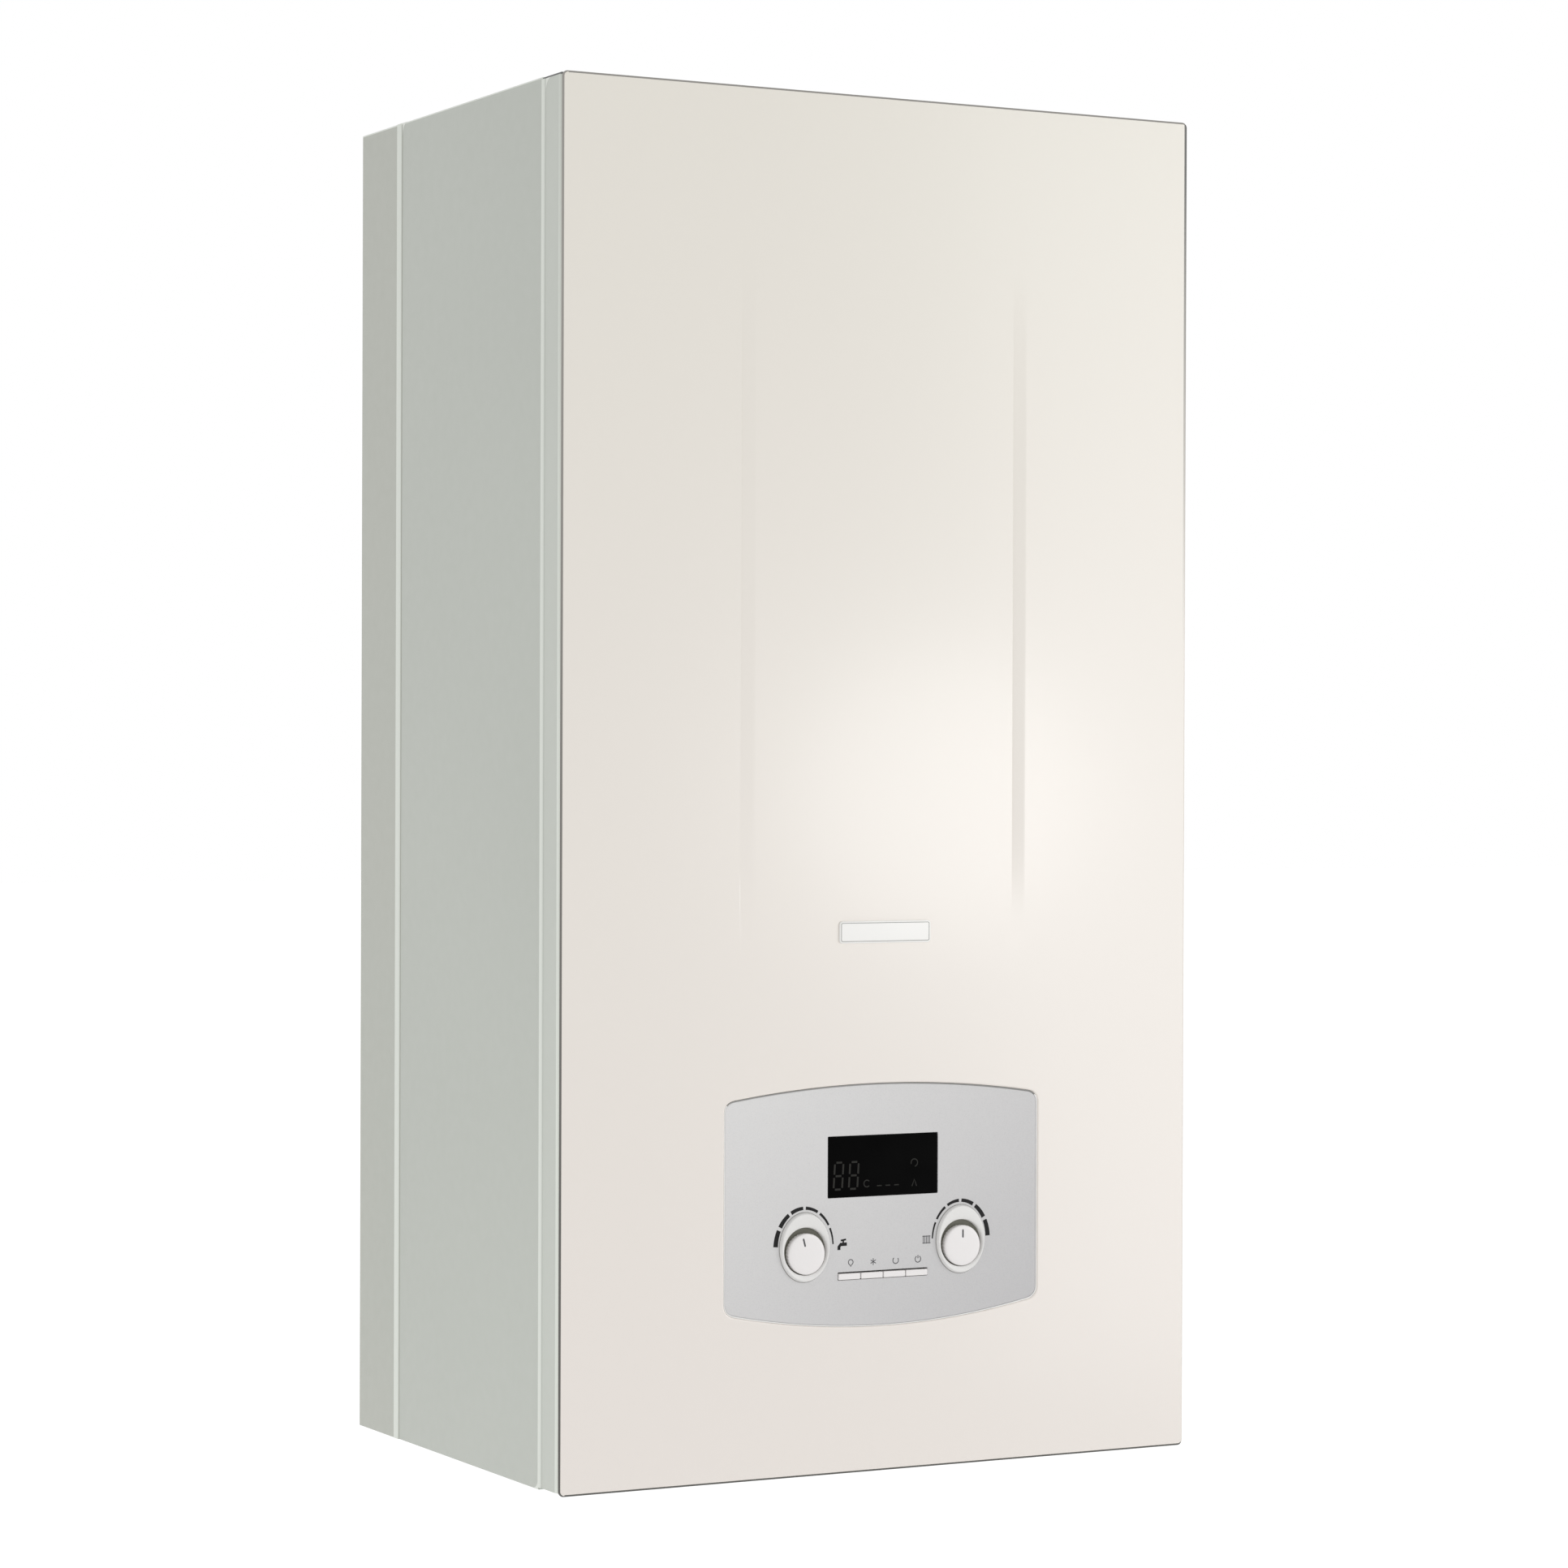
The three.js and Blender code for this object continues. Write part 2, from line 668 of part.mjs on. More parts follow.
// knob with its moulded shaft; the pointer groove runs from the cap's middle to its edge
function knob() {
  const capBack = boxFront - fasciaFace - 3 * touch;
  const shaftEnd = boardBack - fasciaFace + 2;
  return cut(
    join(
      taperY(capRadius - 0.8, capRadius, -capFront, -capFront + 0.8, 0, 0, 32),
      drumY(capRadius, -capFront + 0.8, capBack, 0, 0, 32),
      drumY(knobShaftRadius, capBack - 1, shaftEnd, 0, 0, 16),
    ),
    block(-0.6, 0.6, -capFront - 1, -capFront + 0.3, capRadius * 0.35, capRadius * 0.8),
  );
}

function addKnobs() {
  const names = ["hot_water", "heating"];
  const tilts = [hotWaterPointerTilt, 0];
  knobPlaces.forEach((x, i) => {
    const place = [x, fasciaFace, knobZ];
    addPart(`${names[i]}_collar`, knobCollar(), whitePlastic, place);
    const turned = addPart(`${names[i]}_knob`, knob(), whitePlastic, place);
    turned.rotation.y = -tilts[i];
    const half = potentiometerSize / 2;
    const body = cut(
      block(-half, half, boardFront - potentiometerDepth, boardFront, -half, half),
      drumY(knobShaftRadius + touch, boardFront - 20, boardFront + 20, 0, 0, 16),
    );
    addPart(`${names[i]}_potentiometer`, body, bluePlastic, [x, 0, knobZ]);
  });
}

function addButtons() {
  const names = ["summer_button", "winter_button", "reset_button", "power_button"];
  const switchTop = boardFront - switchHeight;
  const stemEnd = switchTop - buttonTravel - touch;
  buttonPlaces.forEach((x, i) => {
    const front = fasciaFace - buttonProud;
    const button = join(
      block(-buttonWidth / 2, buttonWidth / 2, front, boxFront, -buttonHeight / 2, buttonHeight / 2),
      block(-2, 2, boxFront - 1, stemEnd, -1.5, 1.5),
    );
    addPart(names[i], button, whitePlastic, [x, 0, buttonZ]);
  });
}

function addControlBox() {
  const back = boxFront + boxDepth;
  const shell = cut(
    block(-boxHalfWidth, boxHalfWidth, boxFront, back, boxLow, boxHigh),
    block(
      -boxHalfWidth + boxWall,
      boxHalfWidth - boxWall,
      boxInner,
      back + 5,
      boxLow + boxWall,
      boxHigh - boxWall,
    ),
  );
  const earFront = coverRear - boxWall;
  const ears = blockPair(boxHalfWidth - 1, sideInner - 2, earFront, coverRear, 100, 200);
  const postX = boardHalfWidth - 6;
  const posts = [-1, 1].flatMap((side) =>
    [boardLow + 6, boardHigh - 6].map((z) => drumY(3, boxInner - 1, boardFront, side * postX, z, 12)),
  );
  const opening = displayHalfWidth + 2;
  const slotHalf = buttonRowHalf + touch;
  const through = [
    block(-opening, opening, boxFront - 5, boxInner + 5, windowLow + 2, windowHigh - 2),
    block(-slotHalf, slotHalf, boxFront - 5, boxInner + 5, buttonZ - 3, buttonZ + 3),
    ...knobPlaces.map((x) => drumY(knobShaftRadius + 1.5, boxFront - 5, boxInner + 5, x, knobZ, 16)),
  ];
  addPart("control_box", cut(join(shell, ears, ...posts), ...through), greyPlastic);
}

// circuit board with its display unit, push switches, transformer, relay and terminal strip
function addControlBoard() {
  const displayLow = windowLow + displayMargin;
  const displayHigh = windowHigh - displayMargin;
  const behindWindow = fasciaFace + windowThickness + touch;
  const onBoard = boardFront + 0.5;
  const display = block(-displayHalfWidth, displayHalfWidth, behindWindow, onBoard, displayLow, displayHigh);
  const tactHalf = 3;
  const switchLow = buttonZ - tactHalf;
  const switchHigh = buttonZ + tactHalf;
  const switches = buttonPlaces.map((x) =>
    block(x - tactHalf, x + tactHalf, boardFront - switchHeight, onBoard, switchLow, switchHigh),
  );
  const transformer = block(40, 78, boardFront + 1, boardBack + 24, 170, 205);
  const relay = block(-76, -56, boardFront + 1, boardBack + 16, 170, 200);
  const terminals = block(-60, 30, boardFront + 1, boardBack + 12, 90, 104);
  const board = block(-boardHalfWidth, boardHalfWidth, boardFront, boardBack, boardLow, boardHigh);
  const shaftHoles = knobPlaces.map((x) =>
    drumY(knobShaftRadius + 2 * touch, boardFront - 5, boardBack + 5, x, knobZ, 16),
  );
  const populated = join(board, display, ...switches, transformer, relay, terminals);
  addPart("control_board", cut(populated, ...shaftHoles), boardGreen);
}

// ---------------------------------------------------------------- sealed chamber

function addAirBox() {
  const half = airBoxHalfWidth;
  const rear = -airBoxRear;
  const front = -airBoxFront;
  const shell = cut(
    block(-half, half, front, rear, airBoxLow, airBoxTop),
    block(-half + sheet, half - sheet, front - 5, rear - sheet, airBoxLow + sheet, airBoxTop - sheet),
    drumZ(airInletRadius, airBoxTop - 5, airBoxTop + 5, 0, flueY, 32),
    drumZ(pipeRadius + 2, airBoxLow - 5, airBoxLow + 5, -riserX, riserY, 16),
    drumZ(pipeRadius + 2, airBoxLow - 5, airBoxLow + 5, riserX, riserY, 16),
    drumZ(pipeRadius + 2, airBoxLow - 5, airBoxLow + 5, 0, manifoldY, 16),
  );
  addPart("air_box", shell, zincSteel);

  const rim = airBoxCoverRim;
  const sightZ = (burnerTop + chamberTop) / 2;
  const cover = cut(
    block(-half + touch, half - touch, front - 2 * sheet, front - touch, airBoxLow, airBoxTop - touch),
    block(-half + rim, half - rim, front - 5, front - touch - sheet, airBoxLow + rim, airBoxTop - rim),
    drumY(sightGlassRadius, front - 10, front + 10, 0, sightZ, 20),
  );
  addPart("air_box_cover", cover, zincSteel);
}

function addBurner() {
  const rear = chamberRear - 2;
  const front = chamberFront + 2;
  const floor = airBoxLow + sheet;
  const half = chamberHalfWidth - 2;
  const frame = join(
    blockPair(half - 4, half, front, rear, floor, burnerTop),
    block(-half + 1, half - 1, front, front + 8, floor + 16, floor + 28),
    block(-half + 1, half - 1, rear - 8, rear, floor + 16, floor + 28),
  );
  const blades = [];
  for (let i = 0; i < burnerBladeCount; i += 1) {
    const x = (i - (burnerBladeCount - 1) / 2) * burnerBladePitch;
    blades.push(block(x - 5, x + 5, front + 4, rear - 4, floor + 18, burnerTop - 5));
  }
  addPart("burner", join(frame, ...blades), zincSteel);

  const injectors = blades.map((_, i) => {
    const x = (i - (burnerBladeCount - 1) / 2) * burnerBladePitch;
    return drumY(3, manifoldY + manifoldRadius - 2, front - touch, x, manifoldZ, 8);
  });
  const rail = drumX(manifoldRadius, -chamberHalfWidth + 10, chamberHalfWidth - 10, manifoldY, manifoldZ, 12);
  addPart("gas_manifold", join(rail, ...injectors), brass);
}

function addCombustionChamber() {
  const inner = chamberHalfWidth - insulation;
  const electrodeX = 50;
  const electrodeZ = burnerTop + 8;
  const walls = cut(
    block(-chamberHalfWidth, chamberHalfWidth, chamberFront, chamberRear, burnerTop + touch, chamberTop),
    block(-inner, inner, chamberFront + insulation, chamberRear - insulation, burnerTop - 5, chamberTop + 5),
    drumY(4 + touch + 0.2, chamberFront - 5, chamberFront + insulation + 5, electrodeX, electrodeZ, 16),
  );
  addPart("combustion_chamber", walls, ceramicFibre);

  const flangeBack = -touch;
  const electrode = join(
    drumY(4, -14, 22, 0, 0, 16),
    block(-7, 7, flangeBack - 3, flangeBack, -7, 7),
    drumY(1.2, 20, 34, 0, 0, 8),
  );
  addPart("ignition_electrode", electrode, ceramicFibre, [electrodeX, chamberFront, electrodeZ]);
}

// comb outline of the finned block: teeth above and below a solid core
function finnedOutline() {
  const coreLow = exchangerPortZ - 10;
  const coreHigh = exchangerPortZ + 10;
  const low = chamberTop + touch;
  const start = (-(finCount - 1) / 2) * finPitch;
  const upper = [];
  const lower = [];
  for (let i = 0; i < finCount; i += 1) {
    const left = start + i * finPitch - finThickness / 2;
    const right = left + finThickness;
    lower.push([left, coreLow], [left, low], [right, low], [right, coreLow]);
    upper.push([left, coreHigh], [left, exchangerTop], [right, exchangerTop], [right, coreHigh]);
  }
  return polygon([...lower, ...upper.reverse()]);
}

function addHeatExchanger() {
  const rear = chamberRear - insulation;
  const front = chamberFront + insulation;
  const finsEnd = ((finCount - 1) / 2) * finPitch;
  const core = slab(finnedOutline(), front, rear);
  const ends = blockPair(finsEnd, chamberHalfWidth, front, rear, chamberTop + touch, exchangerTop);
  const ports = [-1, 1].map((side) => {
    const near = side * (chamberHalfWidth - 2);
    const far = side * (riserX - 16);
    return drumX(pipeRadius + 2, Math.min(near, far), Math.max(near, far), riserY, exchangerPortZ, 16);
  });
  addPart("heat_exchanger", join(core, ends, ...ports), copper);
}

function addFlueHood() {
  const low = exchangerTop + touch;
  const brimTop = low + hoodBrim;
  const t = hoodSheet;
  const left = -95;
  const right = 60;
  const half = chamberHalfWidth;
  const stackFront = fanRear + touch;
  const stackTop = fanZ + fanRadius;
  const outerSlope = polygon([
    [-half, low],
    [half, low],
    [half, brimTop],
    [right + 12, hoodTop],
    [left - 4, hoodTop],
    [-half, brimTop],
  ]);
  const innerSlope = polygon([
    [-half + t, low - 5],
    [half - t, low - 5],
    [half - t, brimTop - t],
    [right + 12 - t, hoodTop - t],
    [left - 4 + t, hoodTop - t],
    [-half + t, brimTop - t],
  ]);
  const outside = join(
    slab(outerSlope, chamberFront, chamberRear),
    block(left, right, stackFront, chamberRear, hoodTop - 10, stackTop),
  );
  const inside = join(
    slab(innerSlope, chamberFront + t, chamberRear - t),
    block(left + t, right - t, stackFront + t, chamberRear - t, hoodTop - 15, stackTop - t),
  );
  const inlet = drumY(fanInletRadius, stackFront - 5, stackFront + 5, fanX, fanZ, 24);
  addPart("flue_hood", cut(outside, inside, inlet), zincSteel);
}

function addFan() {
  const w = fanWall;
  const ductHalf = flueRadius;
  const outside = join(
    drumY(fanRadius, fanFront, fanRear, fanX, fanZ, 28),
    block(-ductHalf, ductHalf, fanFront, fanRear, fanZ, ductTop),
  );
  const inside = join(
    drumY(fanRadius - w, fanFront + w, fanRear - w, fanX, fanZ, 28),
    block(-ductHalf + w, ductHalf - w, fanFront + w, fanRear - w, fanZ, ductTop + 5),
  );
  const inlet = drumY(fanInletRadius, fanRear - 5, fanRear + 5, fanX, fanZ, 24);
  const shaftHole = drumY(fanShaftRadius + 4, fanFront - 5, fanFront + 5, fanX, fanZ, 16);
  addPart("fan_housing", cut(outside, inside, inlet, shaftHole), castAluminium);

  const wheelRear = fanRear - w - 4 * touch - 2;
  const wheelFront = fanFront + w + 3;
  const plate = 2;
  const innerEdge = wheelRadius * 0.68;
  const pieces = [
    cut(
      drumY(wheelRadius, wheelRear - plate, wheelRear, 0, 0, 24),
      drumY(innerEdge, wheelRear - 10, wheelRear + 10, 0, 0, 24),
    ),
    drumY(wheelRadius, wheelFront, wheelFront + plate, 0, 0, 24),
    drumY(10, wheelFront, wheelFront + 14, 0, 0, 16),
    drumY(fanShaftRadius, fanFront - 20, wheelFront + 1, 0, 0, 16),
  ];
  for (let i = 0; i < fanBladeCount; i += 1) {
    const blade = new THREE.BoxGeometry(wheelRadius - innerEdge - 2, wheelRear - wheelFront - 2, 2);
    blade.rotateY(0.45);
    blade.translate((wheelRadius + innerEdge) / 2, (wheelRear + wheelFront) / 2, 0);
    blade.rotateY((i * 2 * Math.PI) / fanBladeCount);
    pieces.push(toSolid(blade));
  }
  addPart("fan_wheel", join(...pieces), castAluminium, [fanX, 0, fanZ]);

  const motorRear = fanFront - touch;
  const motor = cut(
    join(
      drumY(24, motorRear - 38, motorRear, 0, 0, 28),
      drumY(33, motorRear - 14, motorRear, 0, 0, 28),
    ),
    drumY(fanShaftRadius + touch, motorRear - 22, motorRear + 5, 0, 0, 16),
  );
  addPart("fan_motor", motor, blackPaint, [fanX, 0, fanZ]);
}

function addFlueCollar() {
  const bottom = ductTop + touch;
  const top = casingHeight;
  const inner = flueRadius - flueWall;
  const flangeLow = airBoxTop;
  const ring = cut(
    drumZ(flueFlangeRadius, flangeLow, top, 0, flueY, 32),
    drumZ(airInletRadius - 1, flangeLow - 5, top + 5, 0, flueY, 32),
  );
  const spokes = [0, 1, 2].map((i) => {
    const reach = airInletRadius - touch;
    const root = flueRadius - flueWall / 2;
    const spoke = new THREE.BoxGeometry(reach - root, 3, 6);
    spoke.translate((reach + root) / 2, 0, top - 3);
    spoke.rotateZ((i * 2 * Math.PI) / 3 + Math.PI / 2);
    spoke.translate(0, flueY, 0);
    return toSolid(spoke);
  });
  const foot = block(-flueRadius - 2, flueRadius + 2, flueY - 28, flueY + 28, bottom, bottom + 2);
  const tube = drumZ(flueRadius, bottom, top, 0, flueY, 24);
  const bore = drumZ(inner, bottom - 5, top + 5, 0, flueY, 24);
  addPart("flue_collar", cut(join(ring, ...spokes, foot, tube), bore), castAluminium);
}

function addPressureSwitch() {
  const wall = -airBoxHalfWidth + sheet + touch;
  const y = pressureSwitchSetback - airBoxFront;
  const z = casingHeight - pressureSwitchDrop;
  const body = join(
    drumX(pressureSwitchRadius, wall, wall + 16, y, z, 24),
    drumX(14, wall + 14, wall + 24, y, z, 20),
    drumX(3, wall + 22, wall + 34, y, z + 6, 10),
  );
  addPart("air_pressure_switch", body, blackPaint);
}

// ---------------------------------------------------------------- water and gas

// flat round vessel of two pressed halves, hollow, with its water nipple at the bottom
function addExpansionVessel() {
  const back = backPlateFront - touch;
  const front = -airBoxRear + 2 * touch;
  const seam = (back + front) / 2;
  const flatRadius = vesselRadius - 34;
  const bendRadius = vesselRadius - 12;
  const bendDepth = 9;
  const rimHalf = 2;
  const wall = vesselWall;
  const outer = [
    [0, front],
    [flatRadius, front],
    [bendRadius, front + bendDepth],
    [vesselRadius - 4, seam - 2 * rimHalf],
    [vesselRadius, seam - rimHalf],
    [vesselRadius, seam + rimHalf],
    [vesselRadius - 4, seam + 2 * rimHalf],
    [bendRadius, back - bendDepth],
    [flatRadius, back],
    [0, back],
  ];
  const inner = [
    [0, front + wall],
    [flatRadius - wall / 2, front + wall],
    [bendRadius - wall, front + bendDepth + wall],
    [bendRadius - wall, back - bendDepth - wall],
    [flatRadius - wall / 2, back - wall],
    [0, back - wall],
  ];
  const turned = (profile) => {
    const shape = new THREE.LatheGeometry(profile.map(([radius, y]) => new THREE.Vector2(radius, y)), 28);
    shape.translate(0, 0, vesselZ);
    return toSolid(shape);
  };
  const rimLow = vesselZ - vesselRadius;
  const nipple = drumZ(8, rimLow - 14, rimLow + 8, 0, seam, 12);
  const bore = drumZ(4, rimLow - 20, rimLow + 20, 0, seam, 12);
  addPart("expansion_vessel", cut(join(turned(outer), nipple), turned(inner), bore), vesselRed);
}

function addPump() {
  const rear = unionY + 20;
  const front = unionY - 20;
  const x = blockCentre;
  const topPort = pumpZ + pumpRadius + 8;
  const ventX = x - 26;
  const body = cut(
    join(
      drumY(pumpRadius, front, rear, x, pumpZ, 32),
      drumZ(12, returnBlockTop + touch, pumpZ, x, unionY, 16),
      drumZ(12, pumpZ, topPort, x, unionY, 16),
      drumZ(8, pumpZ + 34, pumpZ + pumpRadius, ventX, unionY, 12),
    ),
    drumY(pumpChamberRadius, front - 5, rear - 4, x, pumpZ, 32),
    drumZ(8, returnBlockTop - 5, pumpZ, x, unionY, 16),
    drumZ(8, pumpZ, topPort - 8, x, unionY, 16),
  );
  addPart("pump_body", body, castAluminium);

  const shaft = 4;
  const motorRear = front - touch;
  const motorFront = boxFront + boxDepth + pumpMotorGap;
  const motor = cut(
    join(
      drumY(pumpRadius, motorRear - 6, motorRear, 0, 0, 32),
      drumY(pumpRadius - 10, motorFront, motorRear - 5, 0, 0, 28),
      block(-20, 20, motorFront + 6, motorRear - 20, -46, -30),
    ),
    drumY(shaft + touch, motorRear - 26, motorRear + 5, 0, 0, 16),
  );
  addPart("pump_motor", motor, blackPaint, [x, 0, pumpZ]);

  const diskRadius = pumpChamberRadius - 3;
  const pieces = [
    drumY(diskRadius, rear - 10, rear - 8, 0, 0, 32),
    drumY(diskRadius, front + 9, front + 12, 0, 0, 32),
    drumY(shaft, motorRear - 24, front + 10, 0, 0, 16),
  ];
  for (let i = 0; i < 6; i += 1) {
    const vane = new THREE.BoxGeometry(diskRadius - 12, rear - front - 20, 2);
    vane.translate((diskRadius + 10) / 2, (rear + front) / 2, 0);
    vane.rotateY((i * Math.PI) / 3);
    pieces.push(toSolid(vane));
  }
  addPart("pump_impeller", join(...pieces), castAluminium, [x, 0, pumpZ]);

  const ventLow = pumpZ + pumpRadius + touch;
  const ventChamber = drumZ(10, ventLow, ventLow + 22, 0, 0, 16);
  const ventCap = drumZ(4, ventLow + 20, ventLow + 30, 0, 0, 10);
  addPart("air_vent", join(ventChamber, ventCap), brass, [ventX, unionY, 0]);
}

function addManifolds() {
  const rear = -45;
  const centre = blockCentre;
  const returnBlock = cut(
    join(
      block(blockInner, blockOuter, blockFront, rear, blockLow, returnBlockTop),
      block(tapX - 9, blockInner + 5, tapY - 9, blockFront + 10, blockLow + 2, blockLow + 20),
      block(centre - 10, centre + 10, blockFront - 20, blockFront + 5, reliefZ - 12, reliefZ + 12),
    ),
    drumZ(knobShaftRadius + touch, blockLow - 5, blockLow + 15, tapX, tapY, 16),
    drumY(knobShaftRadius + touch, blockFront - 25, blockFront - 8, centre, reliefZ, 16),
  );
  addPart("return_manifold", returnBlock, brass);
  const flowBlock = join(
    block(-blockOuter, -blockInner, blockFront, rear, blockLow, flowBlockTop),
    drumY(16, blockFront - 4, rear, -centre, flowBlockTop - 18, 20),
  );
  addPart("flow_manifold", flowBlock, brass);
  const actuatorBack = blockFront - 4 - touch;
  const actuator = join(
    block(-centre - 17, -centre + 17, actuatorBack - 34, actuatorBack, blockLow + 8, flowBlockTop - 4),
    drumY(12, actuatorBack - 46, actuatorBack - 30, -centre, flowBlockTop - 22, 20),
  );
  addPart("diverter_actuator", actuator, greyPlastic);
}

// stack of pressed plates, drawn as one block with a notch between each two plates
function addPlateExchanger() {
  const half = blockInner - 0.5;
  const rear = -35;
  const front = -80;
  const pitch = (rear - front - 4) / plateCount;
  const outline = [[front, plateStackLow]];
  outline.push([front, plateStackHigh]);
  for (let i = 0; i < plateCount; i += 1) {
    const y = front + 3 + i * pitch;
    outline.push([y, plateStackHigh], [y + 1, plateStackHigh - 3], [y + pitch - 1.5, plateStackHigh - 3]);
    outline.push([y + pitch - 0.5, plateStackHigh]);
  }
  outline.push([rear, plateStackHigh], [rear, plateStackLow]);
  const shape = polygon(outline);
  const geometry = new THREE.ExtrudeGeometry(shape, { depth: 2 * half, bevelEnabled: false });
  geometry.rotateX(Math.PI / 2);
  geometry.rotateZ(Math.PI / 2);
  addPart("plate_heat_exchanger", toSolid(setEnds(geometry, 0, -half, half)), zincSteel);
}

function addGasValve() {
  const low = gasValveLow;
  const high = gasValveHigh;
  const front = unionY - 30;
  const rear = unionY + 25;
  const body = join(
    block(-24, 24, front, rear, low, high),
    drumY(13, front - 28, front + 5, 0, low + 20, 20),
    drumY(13, front - 28, front + 5, 0, low + 54, 20),
    drumZ(10, high - 5, high + 7, 0, unionY, 16),
  );
  addPart("gas_valve", body, castAluminium);
  const start = high + 7 + touch;
  const end = manifoldZ - manifoldRadius - touch;
  const feed = pipe(
    [[0, unionY, start], [0, unionY, 225], [0, manifoldY, 262], [0, manifoldY, end]],
    pipeRadius,
    30,
    18,
  );
  addPart("gas_feed_pipe", feed, copper);
}

function addRisers() {
  const centre = blockCentre;
  const portEnd = riserX - 16 + touch;
  const flow = pipe(
    [
      [-portEnd, riserY, exchangerPortZ],
      [-riserX, riserY, exchangerPortZ],
      [-riserX, riserY, 240],
      [-centre, unionY, 190],
      [-centre, unionY, flowBlockTop + touch],
    ],
    pipeRadius,
    18,
    30,
  );
  addPart("flow_pipe", flow, copper);
  const back = pipe(
    [
      [portEnd, riserY, exchangerPortZ],
      [riserX, riserY, exchangerPortZ],
      [riserX, riserY, 265],
      [centre, unionY, 235],
      [centre, unionY, pumpZ + pumpRadius + 8 + touch],
    ],
    pipeRadius,
    18,
    28,
  );
  addPart("return_pipe", back, copper);
}

// a tail that leaves the casing's underside, with its nut, its bore and a collar above the bottom plate
function addUnion(name, place, top, material, reach) {
  const plateTop = bottomPlateZ + sheet;
  const nut = drumZ(15, 14, 28, 0, 0, 6);
  const collar = drumZ(12, plateTop + touch, plateTop + 5, 0, 0, 16);
  const bore = drumZ(unionRadius - 2, unionEndZ - 5, 24, 0, 0, 12);
  const tail = reach
    ? pipe([[0, 0, unionEndZ], [0, 0, top], [0, reach, top]], unionRadius, 16, 10, 10)
    : drumZ(unionRadius, unionEndZ, top, 0, 0, 16);
  addPart(name, cut(join(tail, nut, collar), bore), material, [place * unionPitch, unionY, 0]);
}

function addUnions() {
  const belowBlocks = blockLow - touch;
  const toPlates = -80 - touch - unionY;
  addUnion("heating_flow_union", -2, belowBlocks, copper, 0);
  addUnion("hot_water_union", -1, 95, copper, toPlates);
  addUnion("gas_union", 0, gasValveLow - touch, brass, 0);
  addUnion("cold_water_union", 1, 95, copper, toPlates);
  addUnion("heating_return_union", 2, belowBlocks, copper, 0);
}

// entry for the supply cable: shank through the bottom plate, with a hexagon below it and a nut above it
function addCableGland() {
  const plateTop = bottomPlateZ + sheet;
  const hexagonTop = bottomPlateZ - touch;
  const gland = cut(
    join(
      drumZ(glandRadius, 16, plateTop + 7, 0, 0, 16),
      drumZ(11.5, 22, hexagonTop, 0, 0, 6),
      drumZ(11.5, plateTop + touch, plateTop + 5, 0, 0, 6),
    ),
    drumZ(4, 10, plateTop + 10, 0, 0, 12),
  );
  addPart("cable_gland", gland, blackPaint, [glandX, glandY, 0]);
}

// hand knob with rounded lobes, drawn round its own axis
function lobedOutline(radius, lobes) {
  const shape = new THREE.Shape();
  const steps = lobes * 4;
  for (let i = 0; i < steps; i += 1) {
    const angle = (i * 2 * Math.PI) / steps;
    const r = radius + Math.cos(lobes * angle);
    if (i === 0) shape.moveTo(r, 0);
    else shape.lineTo(r * Math.cos(angle), r * Math.sin(angle));
  }
  shape.closePath();
  return shape;
}

function addTapKnobs() {
  const tap = join(
    post(lobedOutline(9, 6), 6, 26),
    drumZ(knobShaftRadius, 25, blockLow + 12, 0, 0, 16),
  );
  addPart("filling_tap_knob", tap, blackPaint, [tapX, tapY, 0]);
  const centre = blockCentre;
  const bossFront = blockFront - 20;
  const relief = join(
    slab(lobedOutline(12, 8), bossFront - 22, bossFront - 4, 1),
    drumY(knobShaftRadius, bossFront - 5, bossFront + 10, 0, 0, 16),
  );
  addPart("relief_valve_knob", relief, redPlastic, [centre, 0, reliefZ]);
}

addRearChassis();
addWallBracket();
addSidePanels();
addTopPanel();
addBottomPlate();
addFrontCover();
addFrontGasket();
addFrontPanel();
addBadgePlaque();
addCoverScrews();
addFascia();
addDisplayWindow();
addKnobs();
addButtons();
addControlBox();
addControlBoard();
addAirBox();
addBurner();
addCombustionChamber();
addHeatExchanger();
addFlueHood();
addFan();
addFlueCollar();
addPressureSwitch();
addExpansionVessel();
addPump();
addManifolds();
addPlateExchanger();
addGasValve();
addRisers();
addUnions();
addCableGland();
addTapKnobs();

export default boiler;
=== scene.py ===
"""Looks of a wall-hung combination boiler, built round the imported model.

Places are in the casing's own millimetres, as in the CAD source: the wall is y = 0, the front faces -Y, and
z runs up from the casing's bottom edge. The function row() turns them into the frame's metres.
"""

import json
import math

import bmesh
import bpy
from mathutils import Matrix, Vector
from mathutils.geometry import delaunay_2d_cdt


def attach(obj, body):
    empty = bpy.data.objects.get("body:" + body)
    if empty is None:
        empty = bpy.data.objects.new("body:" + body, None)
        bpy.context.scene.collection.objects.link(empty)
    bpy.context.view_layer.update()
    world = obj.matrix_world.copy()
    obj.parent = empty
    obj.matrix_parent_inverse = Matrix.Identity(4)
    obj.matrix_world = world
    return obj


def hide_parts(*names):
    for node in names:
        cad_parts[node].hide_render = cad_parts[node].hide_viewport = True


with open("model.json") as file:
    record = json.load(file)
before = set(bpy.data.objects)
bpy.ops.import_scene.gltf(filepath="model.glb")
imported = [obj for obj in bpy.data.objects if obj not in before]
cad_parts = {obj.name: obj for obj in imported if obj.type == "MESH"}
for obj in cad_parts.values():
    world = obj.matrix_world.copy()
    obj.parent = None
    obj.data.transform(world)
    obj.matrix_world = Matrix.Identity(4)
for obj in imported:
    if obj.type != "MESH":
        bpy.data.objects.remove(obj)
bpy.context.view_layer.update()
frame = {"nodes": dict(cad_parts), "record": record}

nodes = frame["nodes"]

# ---------------------------------------------------------------- sizes, in millimetres

